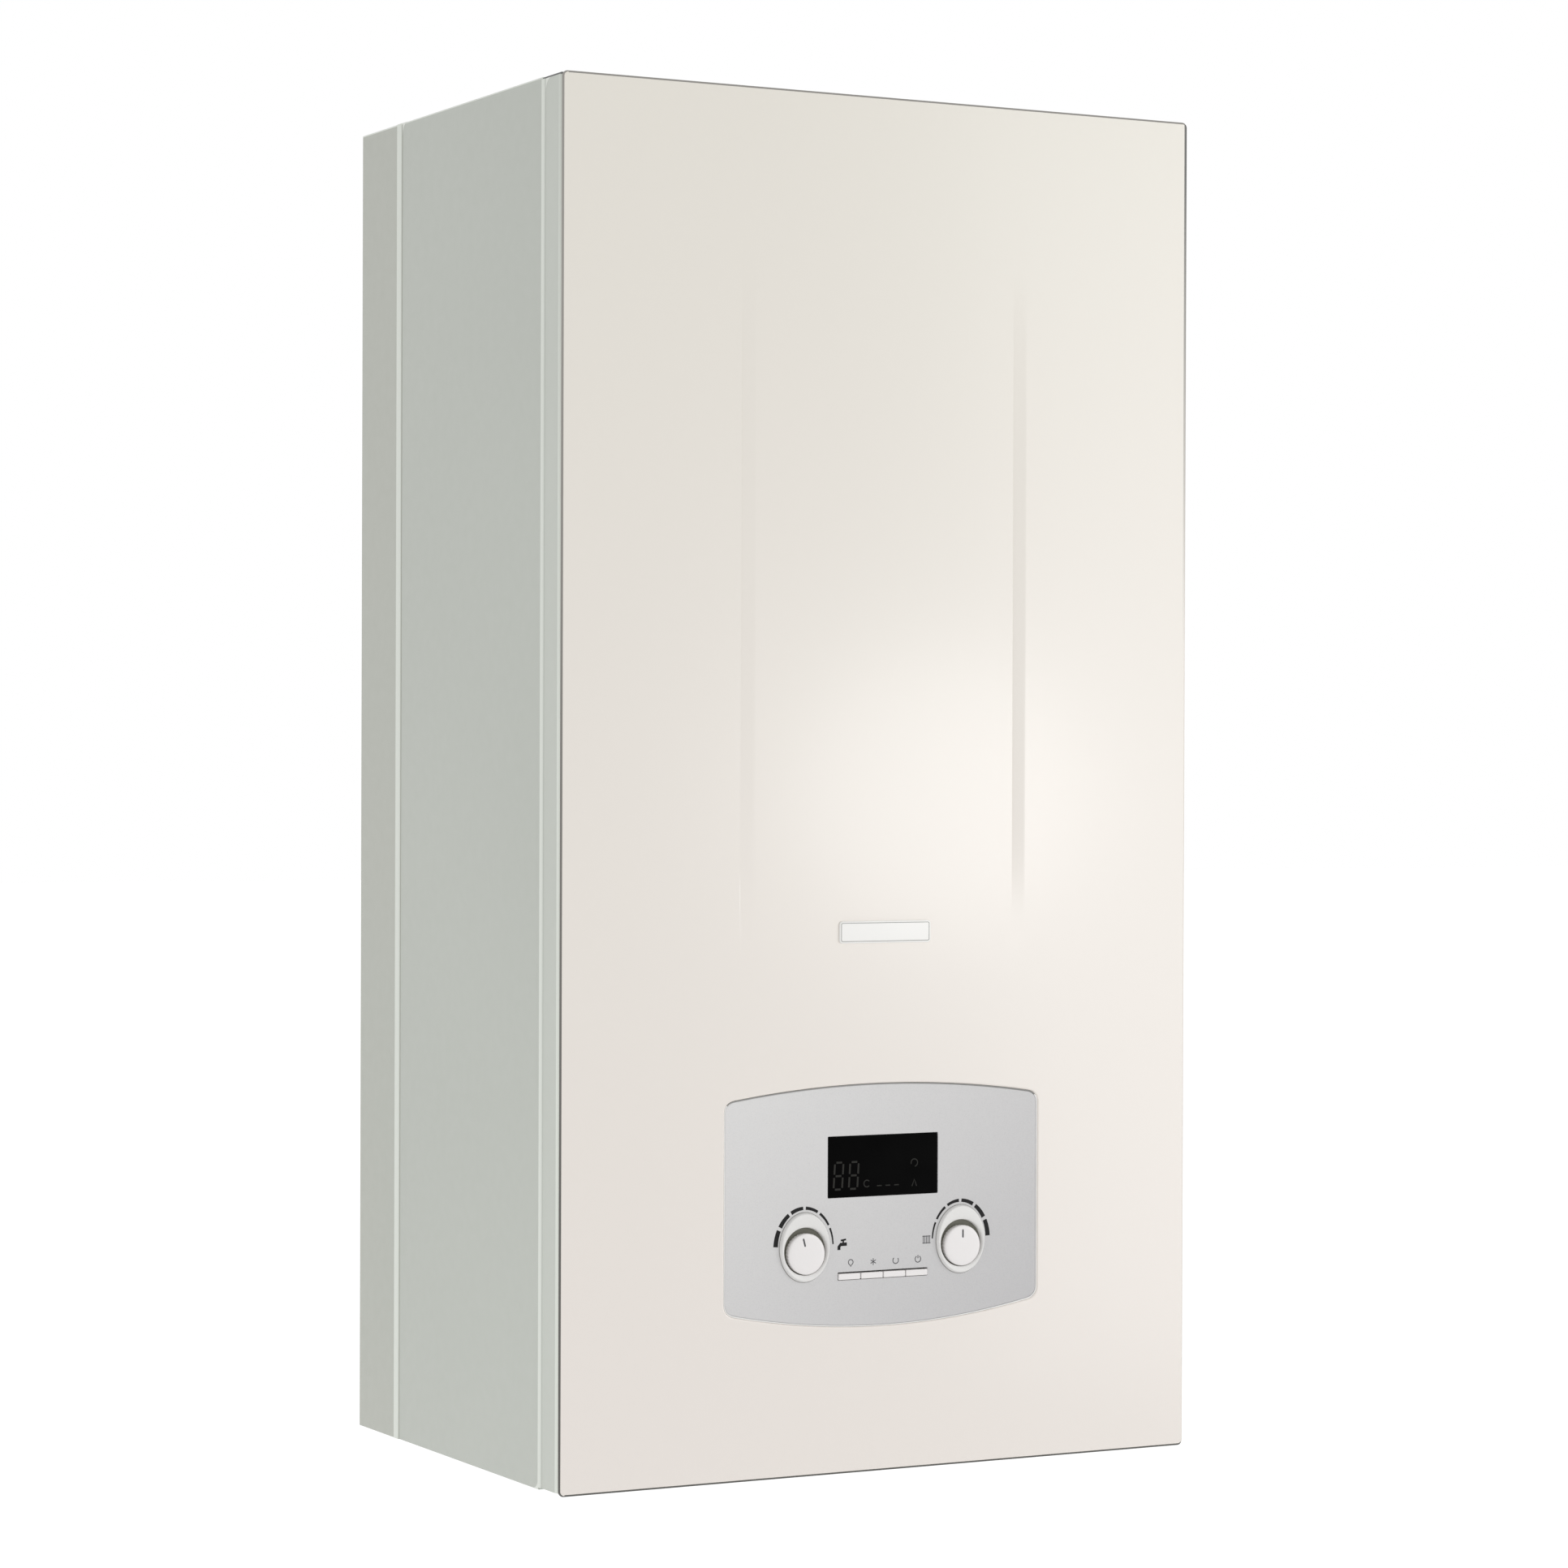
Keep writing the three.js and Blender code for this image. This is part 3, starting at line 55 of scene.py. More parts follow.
MM = 0.001
BRACKET_Z = 660
HALF_WIDTH = 200
HEIGHT = 770
FRONT = -285
PANEL_BACK = -283.4
COVER_FRONT = -282
COVER_REAR = -257
CHASSIS_FRONT = -61
SIDE_OUTER = 199.4

PANEL_CORNER = 3.2
PANEL_RIM = 1.2
CREASE_X = 87
CREASE_WIDTH = 8.4
CREASE_WALL = 0.04  # width of a crease's left wall
CREASE_MARGIN = 0.6  # flat strip beside a crease that gets points of its own
CREASE_LOW = 291
CREASE_HIGH = 680
CREASE_STEP = 15
CREASE_ROWS = 29
CREASE_DEPTHS = {-1: 0.3, 1: 0.62}  # left and right crease
CREASE_LOW_FADES = {-1: 300, 1: 90}
CREASE_HIGH_FADES = {-1: 60, 1: 230}

FASCIA_HALF = 100
FASCIA_LOW = 93
FASCIA_HIGH = 209
FASCIA_LOW_SAG = 11
FASCIA_HIGH_SAG = 8
FASCIA_CORNER = 6
FASCIA_FACE = -284.2
FASCIA_BACK = -280.5
FASCIA_GAP = 0.6
OPENING_GAP = 0.3  # round the window and the row of buttons

WINDOW_HALF = 35
WINDOW_LOW = 154.5
WINDOW_HIGH = 188.3
WINDOW_FACE = FASCIA_FACE - 0.1
WINDOW_BACK = FASCIA_FACE + 1.3
KNOB_X = 50
KNOB_Z = 124.1
KNOB_SIDES = 144
KNOB_RIBS = 36
RIB_HEIGHT = 0.12
CAP_RADIUS = 11.5
CAP_FRONT = FASCIA_FACE - 3.4
CAP_BACK = -279.8
SHAFT_RADIUS = 3
SHAFT_BACK = -262.5
GROOVE_HALF = 0.55
WELL_RADIUS = 13.1
WELL_RISE = 1.4
COLLAR_HALF_WIDTH = 15.6
COLLAR_HALF_HEIGHT = 19.3
COLLAR_RISE = 3.5
COLLAR_FRONT = FASCIA_FACE - 2.2
BUTTON_WIDTH = 13.8
BUTTON_HEIGHT = 3.4
BUTTON_PITCH = 14.4
BUTTON_Z = 110
BUTTON_FRONT = FASCIA_FACE - 0.7
BADGE_HALF = 29.2
BADGE_Z = 302.4
BADGE_HALF_HEIGHT = 6.2
BADGE_FACE = FRONT - 1

BACK_PLATE = -8.8
BOTTOM_PLATE_Z = 34
AIR_BOX_FACE = -251.5
AIR_BOX_RIM_FACE = -252.4
AIR_BOX_LOW = 285
SIGHT_Z = 412.3
FLUE_Y = -160
UNION_Y = -120
UNION_PITCH = 65

PRINT = 0.05  # how far printed marks stand off their surface
PRINT_FACE = FASCIA_FACE - PRINT
PRINT_BACK = FASCIA_FACE + 0.02
LAYER = 0.001  # between strokes that cross
# colour of the painted highlights on the casing's hems and folds
PAINTED_HEM_HIGHLIGHT = (232, 236, 228)

FORWARD = (0, -1, 0)
BACKWARD = (0, 1, 0)
UP = (0, 0, 1)
DOWN = (0, 0, -1)


def row(x, y, z):
    """A point of the casing, in millimetres, as the frame's metres."""
    return Vector((x * MM, y * MM, (z - BRACKET_Z) * MM))


# ---------------------------------------------------------------- materials


def linear(r, g, b):
    """A colour written as 0 to 255, as the shader's linear numbers."""
    def channel(value):
        value /= 255
        return value / 12.92 if value <= 0.04045 else ((value + 0.055) / 1.055) ** 2.4

    return (channel(r), channel(g), channel(b), 1)


class Nodes:
    """Short words for building one material's nodes."""

    def __init__(self, name):
        self.material = bpy.data.materials.new(name)
        self.material.use_nodes = True
        self.tree = self.material.node_tree
        self.shader = self.tree.nodes["Principled BSDF"]
        self.object_space = self.tree.nodes.new("ShaderNodeTexCoord").outputs["Object"]

    def feed(self, socket, value):
        """Links another node's output to a socket, or sets the socket's own constant."""
        if isinstance(value, bpy.types.NodeSocket):
            self.tree.links.new(value, socket)
        else:
            socket.default_value = value

    def fill(self, node, inputs):
        for key, value in inputs.items():
            self.feed(node.inputs[key.replace("_", " ")], value)
        return node

    def add(self, kind, **inputs):
        return self.fill(self.tree.nodes.new(kind), inputs)

    def set(self, **inputs):
        """Sets or links inputs of the surface shader."""
        self.fill(self.shader, inputs)

    def stretched(self, x, y, z):
        """Object coordinates with each axis multiplied, for streaks."""
        mapping = self.add("ShaderNodeMapping", Vector=self.object_space, Scale=(x, y, z))
        return mapping.outputs["Vector"]

    def noise(self, scale, detail=3, roughness=0.5, vector=None):
        vector = vector or self.object_space
        node = self.add("ShaderNodeTexNoise", Vector=vector, Scale=scale, Detail=detail, Roughness=roughness)
        return node.outputs["Fac"]

    def ramp(self, value, low, high, to_low=0.0, to_high=1.0):
        node = self.add("ShaderNodeMapRange", Value=value, From_Min=low, From_Max=high, To_Min=to_low,
                        To_Max=to_high)
        return node.outputs["Result"]

    def math(self, operation, first, second):
        node = self.tree.nodes.new("ShaderNodeMath")
        node.operation = operation
        self.feed(node.inputs[0], first)
        self.feed(node.inputs[1], second)
        return node.outputs["Value"]

    def mix(self, share, first, second):
        node = self.tree.nodes.new("ShaderNodeMix")
        node.data_type = "RGBA"
        colours = [socket for socket in node.inputs if socket.type == "RGBA"]
        self.feed(node.inputs[0], share)
        self.feed(colours[0], first)
        self.feed(colours[1], second)
        return next(socket for socket in node.outputs if socket.type == "RGBA")

    def axes(self):
        """The three object coordinates in metres, each as its own socket."""
        return self.add("ShaderNodeSeparateXYZ", Vector=self.object_space).outputs

    def above(self, value, edge_mm, soft_mm=0.15):
        """0 below an edge and 1 above it, over a soft band."""
        return self.ramp(value, (edge_mm - soft_mm) * MM, (edge_mm + soft_mm) * MM)

    def bump(self, height, distance_mm):
        return self.add("ShaderNodeBump", Height=height, Distance=distance_mm * MM).outputs["Normal"]


def paint(name, colour, other, roughness, peel_scale, peel_mm, coat=0.0):
    """A sprayed or moulded surface: two close shades in soft patches, and a fine skin texture."""
    n = Nodes(name)
    spread = 0.04
    n.set(Base_Color=n.mix(n.ramp(n.noise(14, 1, 0.4), 0.2, 0.8), linear(*colour), linear(*other)))
    n.set(Roughness=n.ramp(n.noise(peel_scale * 0.2), 0.2, 0.8, roughness - spread, roughness + spread))
    n.set(Normal=n.bump(n.noise(peel_scale, 2), peel_mm), Coat_Weight=coat, Coat_Roughness=0.12)
    return n.material


def enamel(name):
    """Glossy warm white coat with the faint waviness of a sprayed panel. Its tone is painted pinker low and
    warmer grey high as a painted reflection, with a little random tone; painted shade darkens it along the
    upper right edge."""
    n = Nodes(name)
    x, _, z = n.axes()
    # painted reflection: pinker towards the bottom, warmer grey towards the top, plus random tone
    painted_reflection_and_drift = n.math("ADD", n.ramp(z, -0.55, 0.1, 0.0, 0.8), n.ramp(n.noise(3, 1, 0.4), 0.2, 0.8, 0.0, 0.2))
    coat = n.mix(painted_reflection_and_drift, linear(236, 229, 223), linear(234, 230, 220))
    # painted shade beside the right edge, strongest towards the top
    thin = n.math("MULTIPLY", n.above(x, HALF_WIDTH - 2.1, 0.2), n.ramp(z, -0.2, 0.08))
    n.set(Base_Color=n.mix(thin, coat, linear(84, 84, 80)))
    n.set(Roughness=n.ramp(n.noise(4, 1, 0.4), 0.2, 0.8, 0.215, 0.24))
    n.set(Normal=n.bump(n.noise(70, 1, 0.4), 0.004), Coat_Weight=0.3, Coat_Roughness=0.12)
    return n.material


def painted_edge_shade(name):
    """Painted shade: a dark band round the front panel's rounded edge. It is painted paler down the right
    side and up the left side's outer edge, and lighter along the top, as painted light.
    """
    n = Nodes(name)
    x, _, z = n.axes()
    right = n.above(x, HALF_WIDTH - 1.3, 0.05)
    left = n.ramp(x, (1.6 - HALF_WIDTH) * MM, (1.5 - HALF_WIDTH) * MM)
    # painted light: paler down the right side and up the outer edge of the left side
    painted_paling = n.math("ADD", n.math("MULTIPLY", n.ramp(z, 0.08, -0.2), right),
                    n.math("MULTIPLY", n.ramp(z, -0.5, 0.0, 0.05, 0.4), left))
    # painted light along the top edge
    top = n.math("MULTIPLY", n.above(z, HEIGHT - BRACKET_Z - 1.3, 0.05), 0.3)
    grain = n.math("MULTIPLY", n.noise(900, 2), 0.04)
    share = n.math("MAXIMUM", n.math("ADD", painted_paling, grain), top)
    n.set(Base_Color=n.mix(share, linear(88, 87, 84), linear(232, 227, 220)))
    n.set(Roughness=n.ramp(n.noise(300, 2), 0.3, 0.7, 0.55, 0.65))
    n.set(Normal=n.bump(n.noise(900, 2), 0.01), Specular_IOR_Level=0.2)
    return n.material


def casing_paint(name, colour, other):
    """Powder coat of the casing. Folded hems, the cover's front bend, more so lower down, and the top edges
    of the side sheets are painted lighter, as painted highlights of their rounded folds."""
    n = Nodes(name)
    patches = n.ramp(n.noise(7, 2, 0.4), 0.25, 0.75)
    coat = n.mix(patches, linear(*colour), linear(*other))
    x, y, z = n.axes()
    aside = n.math("ABSOLUTE", x, 0)
    # painted highlights: the hems, the cover's front bend (stronger lower down) and the side sheets' top
    # edges
    hem = n.above(aside, SIDE_OUTER + 0.3, 0.1)
    forward = n.math("MULTIPLY", y, -1)
    lower = n.ramp(z, 0.11, -0.25, 0.35, 1.0)
    bend = n.math("MULTIPLY", n.above(forward, -COVER_FRONT - 4), lower)
    rim = n.math("MULTIPLY", n.above(z, HEIGHT - BRACKET_Z - 0.9), n.above(aside, SIDE_OUTER - 1.6))
    light = n.math("MAXIMUM", n.math("MAXIMUM", hem, bend), rim)
    n.set(Base_Color=n.mix(light, coat, linear(*PAINTED_HEM_HIGHLIGHT)))
    n.set(Roughness=n.ramp(n.noise(140, 3), 0.3, 0.7, 0.38, 0.48))
    n.set(Normal=n.bump(n.noise(700, 2), 0.008))
    return n.material


def moulded_fascia(name):
    """Satin silver plastic with fine metal flake; its tone is painted darker to the right and downwards, as
    painted shade.
    """
    n = Nodes(name)
    flakes = n.ramp(n.noise(1500, 2), 0.45, 0.7, 0.0, 0.15)
    x, _, z = n.axes()
    # painted shade: darker to the right and downwards
    across = n.ramp(x, -FASCIA_HALF * MM, FASCIA_HALF * MM, 0.0, 0.6)
    down = n.ramp(z, (FASCIA_HIGH - BRACKET_Z) * MM, (FASCIA_LOW - BRACKET_Z) * MM, 0.0, 0.35)
    tone = n.math("ADD", n.math("ADD", across, down), flakes)
    n.set(Base_Color=n.mix(tone, linear(222, 221, 220), linear(191, 190, 191)))
    n.set(Roughness=n.ramp(n.noise(260, 3), 0.3, 0.7, 0.36, 0.44))
    n.set(Normal=n.bump(n.noise(1400, 2), 0.005))
    return n.material


def metal(name, colour, other, roughness, grain, grain_mm):
    """A bare metal with tarnish in patches and a fine grain."""
    n = Nodes(name)
    patches = n.ramp(n.noise(60, 5, 0.65), 0.35, 0.7)
    n.set(Base_Color=n.mix(patches, linear(*colour), linear(*other)), Metallic=1.0)
    n.set(Roughness=n.ramp(n.noise(180, 4), 0.3, 0.7, roughness - 0.08, roughness + 0.08))
    n.set(Normal=n.bump(n.noise(grain, 3, 0.6), grain_mm))
    return n.material


def galvanised(name):
    """Zinc coat: crystals that each reflect a little differently."""
    n = Nodes(name)
    cells = n.add("ShaderNodeTexVoronoi", Vector=n.object_space, Scale=210)
    tone = n.add("ShaderNodeSeparateColor", Color=cells.outputs["Color"]).outputs["Red"]
    n.set(Base_Color=n.mix(tone, linear(156, 160, 163), linear(170, 174, 177)), Metallic=0.8)
    n.set(Roughness=n.ramp(tone, 0, 1, 0.38, 0.48))
    n.set(Normal=n.bump(n.noise(700), 0.01))
    return n.material


def circuit_board(name):
    """Green lacquer over copper tracks."""
    n = Nodes(name)
    swapped = n.add("ShaderNodeMapping", Vector=n.object_space, Rotation=(math.pi / 2, 0, 0))
    bricks = n.add("ShaderNodeTexBrick", Vector=swapped.outputs["Vector"], Scale=160, Mortar_Size=0.04,
                   Color1=linear(26, 84, 52), Color2=linear(30, 94, 58), Mortar=linear(58, 128, 78))
    n.set(Base_Color=bricks.outputs["Color"], Roughness=n.ramp(n.noise(200), 0.3, 0.7, 0.3, 0.45))
    n.set(Normal=n.bump(bricks.outputs["Fac"], 0.03))
    return n.material


def fibre(name):
    """Pressed ceramic wool board."""
    n = Nodes(name)
    strands = n.noise(320, 6, 0.75, n.stretched(1, 1, 4))
    n.set(Base_Color=n.mix(n.ramp(strands, 0.35, 0.65), linear(214, 206, 190), linear(236, 231, 219)))
    n.set(Roughness=0.95, Normal=n.bump(strands, 0.25))
    return n.material


def black_glass(name):
    """Smoked display pane: very dark and barely mirroring."""
    n = Nodes(name)
    n.set(Base_Color=n.mix(n.ramp(n.noise(30, 4), 0.3, 0.7), linear(4, 4, 4), linear(7, 7, 7)))
    n.set(Roughness=n.ramp(n.noise(90), 0.3, 0.7, 0.1, 0.16))
    n.set(Normal=n.bump(n.noise(600, 2), 0.002), Specular_IOR_Level=0.02)
    return n.material


def ink(name, colour, other):
    """Screen-printed ink."""
    n = Nodes(name)
    n.set(Base_Color=n.mix(n.ramp(n.noise(900, 2), 0.3, 0.7), linear(*colour), linear(*other)))
    n.set(Roughness=0.5, Normal=n.bump(n.noise(2500, 2), 0.003), Specular_IOR_Level=0.2)
    return n.material


MATERIALS = {
    "gloss_white_enamel": enamel("gloss_white_enamel"),
    # greenish grey: partly the coat's own tone, partly painted shade of the sides
    "casing_paint": casing_paint("casing_paint", (198, 202, 194), (196, 200, 192)),
    "dark_rubber": paint("dark_rubber", (84, 85, 87), (74, 75, 77), 0.75, 900, 0.03),
    "badge_white": paint("badge_white", (244, 243, 240), (240, 239, 236), 0.32, 500, 0.004, 0.3),
    "fascia_silver": moulded_fascia("fascia_silver"),
    "window_black": black_glass("window_black"),
    "white_plastic": paint("white_plastic", (240, 237, 236), (236, 233, 232), 0.36, 1100, 0.006),
    "grey_plastic": paint("grey_plastic", (60, 62, 65), (52, 54, 57), 0.55, 1200, 0.02),
    "black_plastic": paint("black_plastic", (30, 31, 32), (24, 25, 26), 0.5, 1200, 0.02),
    "blue_plastic": paint("blue_plastic", (42, 86, 158), (36, 76, 144), 0.4, 900, 0.01),
    "red_plastic": paint("red_plastic", (182, 42, 32), (166, 34, 26), 0.42, 900, 0.01),
    "board_green": circuit_board("board_green"),
    "ceramic_fibre": fibre("ceramic_fibre"),
    "zinc_steel": galvanised("zinc_steel"),
    "copper": metal("copper", (200, 126, 84), (164, 96, 62), 0.3, 1200, 0.01),
    "brass": metal("brass", (208, 176, 96), (182, 146, 76), 0.32, 700, 0.02),
    "cast_aluminium": metal("cast_aluminium", (176, 179, 181), (150, 153, 156), 0.5, 420, 0.06),
    "black_paint": paint("black_paint", (34, 35, 37), (28, 29, 31), 0.45, 600, 0.02),
    "vessel_red": paint("vessel_red", (168, 44, 36), (150, 36, 30), 0.42, 400, 0.02),
}
# lit and shaded copies of the casing coat: the cover's is painted lighter as painted light, the rear
# chassis's darker as painted shade
COVER_PAINT_LIT = casing_paint("casing_paint_cover_lit", (208, 212, 204), (205, 209, 201))
REAR_PAINT_SHADED = casing_paint("casing_paint_rear_shaded", (193, 195, 186), (191, 194, 185))
SHADE_STRIP_GREY = paint("shade_strip_grey", (104, 104, 104), (97, 97, 97), 0.5, 900, 0.01)
BEAD_HIGHLIGHT_WHITE = paint("bead_highlight_white", (252, 252, 250), (248, 248, 246), 0.3, 900, 0.003)
GREY_PRINT_AND_SHADE = paint("grey_print_and_shade", (150, 149, 146), (142, 141, 138), 0.4, 900, 0.003)
RING_PLASTIC = paint("ring_plastic", (232, 231, 229), (227, 226, 224), 0.34, 1100, 0.005)
FOLD_HIGHLIGHT = paint("fold_highlight", (238, 241, 234), (234, 237, 230), 0.4, 700, 0.006)
PAINTED_EDGE_SHADE = painted_edge_shade("painted_edge_shade")
WASHER_RED = paint("washer_red", (124, 52, 40), (108, 44, 34), 0.7, 800, 0.02)
SCREW_STEEL = metal("screw_steel", (196, 198, 200), (172, 175, 178), 0.34, 900, 0.01)
WELL_SHADE_GREY = paint("well_shade_grey", (112, 111, 100), (98, 98, 88), 0.6, 900, 0.01)
INK_BLACK = ink("ink_black", (8, 8, 9), (12, 12, 13))
INK_GREY = ink("ink_grey", (84, 84, 86), (94, 94, 96))
LCD_OLIVE = ink("lcd_olive", (24, 24, 18), (21, 21, 16))

# ---------------------------------------------------------------- outlines, in x and z


def circle(radius, x, z, steps=64):
    angles = [2 * math.pi * i / steps for i in range(steps)]
    return [(x + radius * math.cos(a), z + radius * math.sin(a)) for a in angles]


def oval(half_width, half_height, x, z, steps=72):
    return [(x + half_width * px, z + half_height * pz) for px, pz in circle(1, 0, 0, steps)]


def arc(x, z, radius, start, end, steps=16):
    """An open path from one angle to another, in degrees."""
    angles = [math.radians(start + (end - start) * i / steps) for i in range(steps + 1)]
    return [(x + radius * math.cos(a), z + radius * math.sin(a)) for a in angles]


def rounded_rectangle(x0, x1, z0, z1, radius, steps):
    radius = max(radius, 0.01)
    points = []
    for cx, cz, start in ((x1 - radius, z0 + radius, -90), (x1 - radius, z1 - radius, 0),
                          (x0 + radius, z1 - radius, 90), (x0 + radius, z0 + radius, 180)):
        for i in range(steps + 1):
            angle = math.radians(start + 90 * i / steps)
            points.append((cx + radius * math.cos(angle), cz + radius * math.sin(angle)))
    return points


def box(x0, x1, z0, z1, radius, steps=8, loss=1):
    """A function that gives a rounded rectangle moved inward by some millimetres. Its corners' radius loses
    as much, or a share of it."""
    return lambda inward: rounded_rectangle(x0 + inward, x1 - inward, z0 + inward, z1 - inward,
                                            radius - inward * loss, steps)


def quadratic(start, control, end, steps):
    """Points of a quadratic curve, without its last one."""
    points = []
    for i in range(steps):
        t = i / steps
        points.append(tuple((1 - t) ** 2 * a + 2 * t * (1 - t) * b + t * t * c
                            for a, b, c in zip(start, control, end)))
    return points


def fascia_outline(margin):
    """The fascia's outline grown by a margin, the same curves as in the CAD source."""
    half = FASCIA_HALF + margin
    low = FASCIA_LOW - margin
    high = FASCIA_HIGH + margin
    radius = FASCIA_CORNER + margin
    edge = half - radius
    share = 1 - (edge / half) ** 2
    high_end = high + FASCIA_HIGH_SAG * share
    low_end = low - FASCIA_LOW_SAG * share
    low_middle = 2 * (low - FASCIA_LOW_SAG) - low_end
    high_middle = 2 * (high + FASCIA_HIGH_SAG) - high_end
    return (
        quadratic((-half, low + radius), (-half, low), (-edge, low_end), 8)
        + quadratic((-edge, low_end), (0, low_middle), (edge, low_end), 40)
        + quadratic((edge, low_end), (half, low), (half, low + radius), 8)
        + quadratic((half, high - radius), (half, high), (edge, high_end), 8)
        + quadratic((edge, high_end), (0, high_middle), (-edge, high_end), 40)
        + quadratic((-edge, high_end), (-half, high), (-half, high - radius), 8)
    )


def inside(point, outline):
    """Whether a line from the point to the right crosses the outline an odd number of times."""
    x, z = point
    hit = False
    for (x0, z0), (x1, z1) in zip(outline, outline[1:] + outline[:1]):
        if (z0 > z) != (z1 > z) and x < (x1 - x0) * (z - z0) / (z1 - z0) + x0:
            hit = not hit
    return hit


# ---------------------------------------------------------------- meshes


class Mesh:
    """Points and faces of one piece, in casing millimetres."""

    def __init__(self):
        self.points = []
        self.faces = []
        self.finish_of = None  # a function from a mesh face to the number of its material

    def ring(self, points):
        start = len(self.points)
        self.points.extend(points)
        return list(range(start, len(self.points)))

    def level(self, outline, y):
        """An outline in x and z as a ring at one depth."""
        return self.ring([(x, y, z) for x, z in outline])

    def cap(self, ring):
        self.faces.append(tuple(ring))

    def loft(self, rings):
        """Walls from each ring to the next."""
        for first, second in zip(rings, rings[1:]):
            for i in range(len(first)):
                j = (i + 1) % len(first)
                self.faces.append((first[i], first[j], second[j], second[i]))

    def tube(self, rings):
        """Walls from each ring to the next, and from the last one to the first."""
        self.loft([*rings, rings[0]])

    def solid(self, rings):
        self.loft(rings)
        self.cap(rings[0])
        self.cap(rings[-1])

    def flat(self, rings, extra=(), depth=None):
        """Triangles between an outer ring and the rings of its holes, all at one depth. The extra points
        that lie between them are joined in, sunk by what the function depth gives."""
        y = self.points[rings[0][0]][1]
        ids = [i for ring in rings for i in ring]
        outlines = [[(self.points[i][0], self.points[i][2]) for i in ring] for ring in rings]
        edges = []
        start = 0
        for ring in rings:
            count = len(ring)
            edges.extend((start + i, start + (i + 1) % count) for i in range(count))
            start += count

        def between(point):
            return inside(point, outlines[0]) and not any(inside(point, hole) for hole in outlines[1:])

        places = [Vector(point) for outline in outlines for point in outline]
        places.extend(Vector(point) for point in extra if between(point))
        points, _, faces, origins, _, _ = delaunay_2d_cdt(places, edges, [], 0, 1e-5)
        mapped = []
        for point, origin in zip(points, origins):
            known = [i for i in origin if i < len(ids)]
            if known:
                mapped.append(ids[known[0]])
            else:
                lift = depth(point.x, point.y) if depth else 0
                mapped.extend(self.ring([(point.x, y + lift, point.y)]))
        for face in faces:
            centre = sum((points[i] for i in face), Vector((0, 0))) / len(face)
            if between(centre):
                self.faces.append(tuple(mapped[i] for i in face))

    def piece(self, name, material, body="boiler", stands_for=(), smooth=35):
        """Makes the Blender object, shaded smooth up to an angle in degrees. It rides on a body, and takes
        the place of the CAD nodes that it stands for."""
        mesh = bpy.data.meshes.new(name)
        mesh.from_pydata([row(*p) for p in self.points], [], self.faces)
        work = bmesh.new()
        work.from_mesh(mesh)
        bmesh.ops.remove_doubles(work, verts=work.verts, dist=1e-7)
        bmesh.ops.dissolve_degenerate(work, edges=work.edges, dist=1e-8)
        bmesh.ops.recalc_face_normals(work, faces=work.faces)
        work.to_mesh(mesh)
        work.free()
        mesh.polygons.foreach_set("use_smooth", [True] * len(mesh.polygons))
        mesh.set_sharp_from_angle(angle=math.radians(smooth))
        for finish in material if isinstance(material, list) else [material]:
            mesh.materials.append(finish)
        for face in mesh.polygons:
            face.material_index = self.finish_of(face) if self.finish_of else 0
        made = bpy.data.objects.new(name, mesh)
        bpy.context.scene.collection.objects.link(made)
        normals = made.modifiers.new("normals", "WEIGHTED_NORMAL")
        normals.keep_sharp = True
        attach(made, body)
        if stands_for:
            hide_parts(*stands_for)
        return made


def rim_steps(rim, steps=4):
    """How far in, and how far back, each ring of a rounded edge lies, from the side to the face."""
    angles = [math.pi / 2 * i / steps for i in range(steps + 1)]
    return [(rim * (1 - math.cos(angle)), rim * (1 - math.sin(angle))) for angle in angles]


def plate(mesh, outer, holes, face, back, rim, hole_rim=0, extra=(), depth=None):
    """A flat plate from a front face back to a rear face. outer and each hole are functions that give
    the outline moved by some millimetres into the plate's material; rims are rounded at the front."""
    front_rings = []
    back_rings = []
    for place, outline in enumerate([outer, *holes]):
        rings = [mesh.level(outline(0), back)]
        for inward, behind in rim_steps(hole_rim if place else rim):
            rings.append(mesh.level(outline(inward), face + behind))
        mesh.loft(rings)
        front_rings.append(rings[-1])
        back_rings.append(rings[0])
    mesh.flat(front_rings, extra, depth)
    mesh.flat(back_rings)


def along_axis(place, axis):
    """A function that makes a point of two coordinates across an axis and one along it."""
    axis, place = Vector(axis), Vector(place)
    side = axis.orthogonal().normalized()
    up = axis.cross(side)

    def point(across, upward, along):
        return tuple(place + axis * along + side * across + up * upward)

    return point


def lathe(mesh, profile, centre, axis, steps=48, loop=False):
    """Turns (radius, distance along the axis) pairs round an axis through a centre. A loop closes on
    itself; otherwise the first and last rings are capped."""
    point = along_axis(centre, axis)
    rings = []
    for radius, along in profile:
        rings.append(mesh.ring([point(px, pz, along) for px, pz in circle(radius, 0, 0, steps)]))
    if loop:
        mesh.tube(rings)
    else:
        mesh.solid(rings)


def screw(mesh, place, axis, radius=3.2, height=1.7):
    """Pan head with a cross recess, standing on a face that looks along the axis."""
    point = along_axis(place, axis)
    head = arc(0, 0, radius, -15, 315, 11)
    arm = 0.52 * radius
    half = 0.13 * radius
    quarter = [(arm, -half), (arm, half), (half, half)]
    cross = []
    for _ in range(4):
        cross.extend(quarter)
        quarter = [(-pz, px) for px, pz in quarter]
    sections = [(head, 1, 0), (head, 1, 0.5), (head, 0.88, 0.84), (head, 0.62, 1),
                (cross, 1, 1), (cross, 1, 0.35)]
    mesh.solid([mesh.ring([point(px * share, pz * share, rise * height) for px, pz in outline])
                for outline, share, rise in sections])


def prism(mesh, outline, face, back):
    """A straight prism of an outline in x and z."""
    near = mesh.level(outline, face)
    far = mesh.level(outline, back)
    mesh.loft([near, far])
    mesh.flat([near])
    mesh.flat([far])


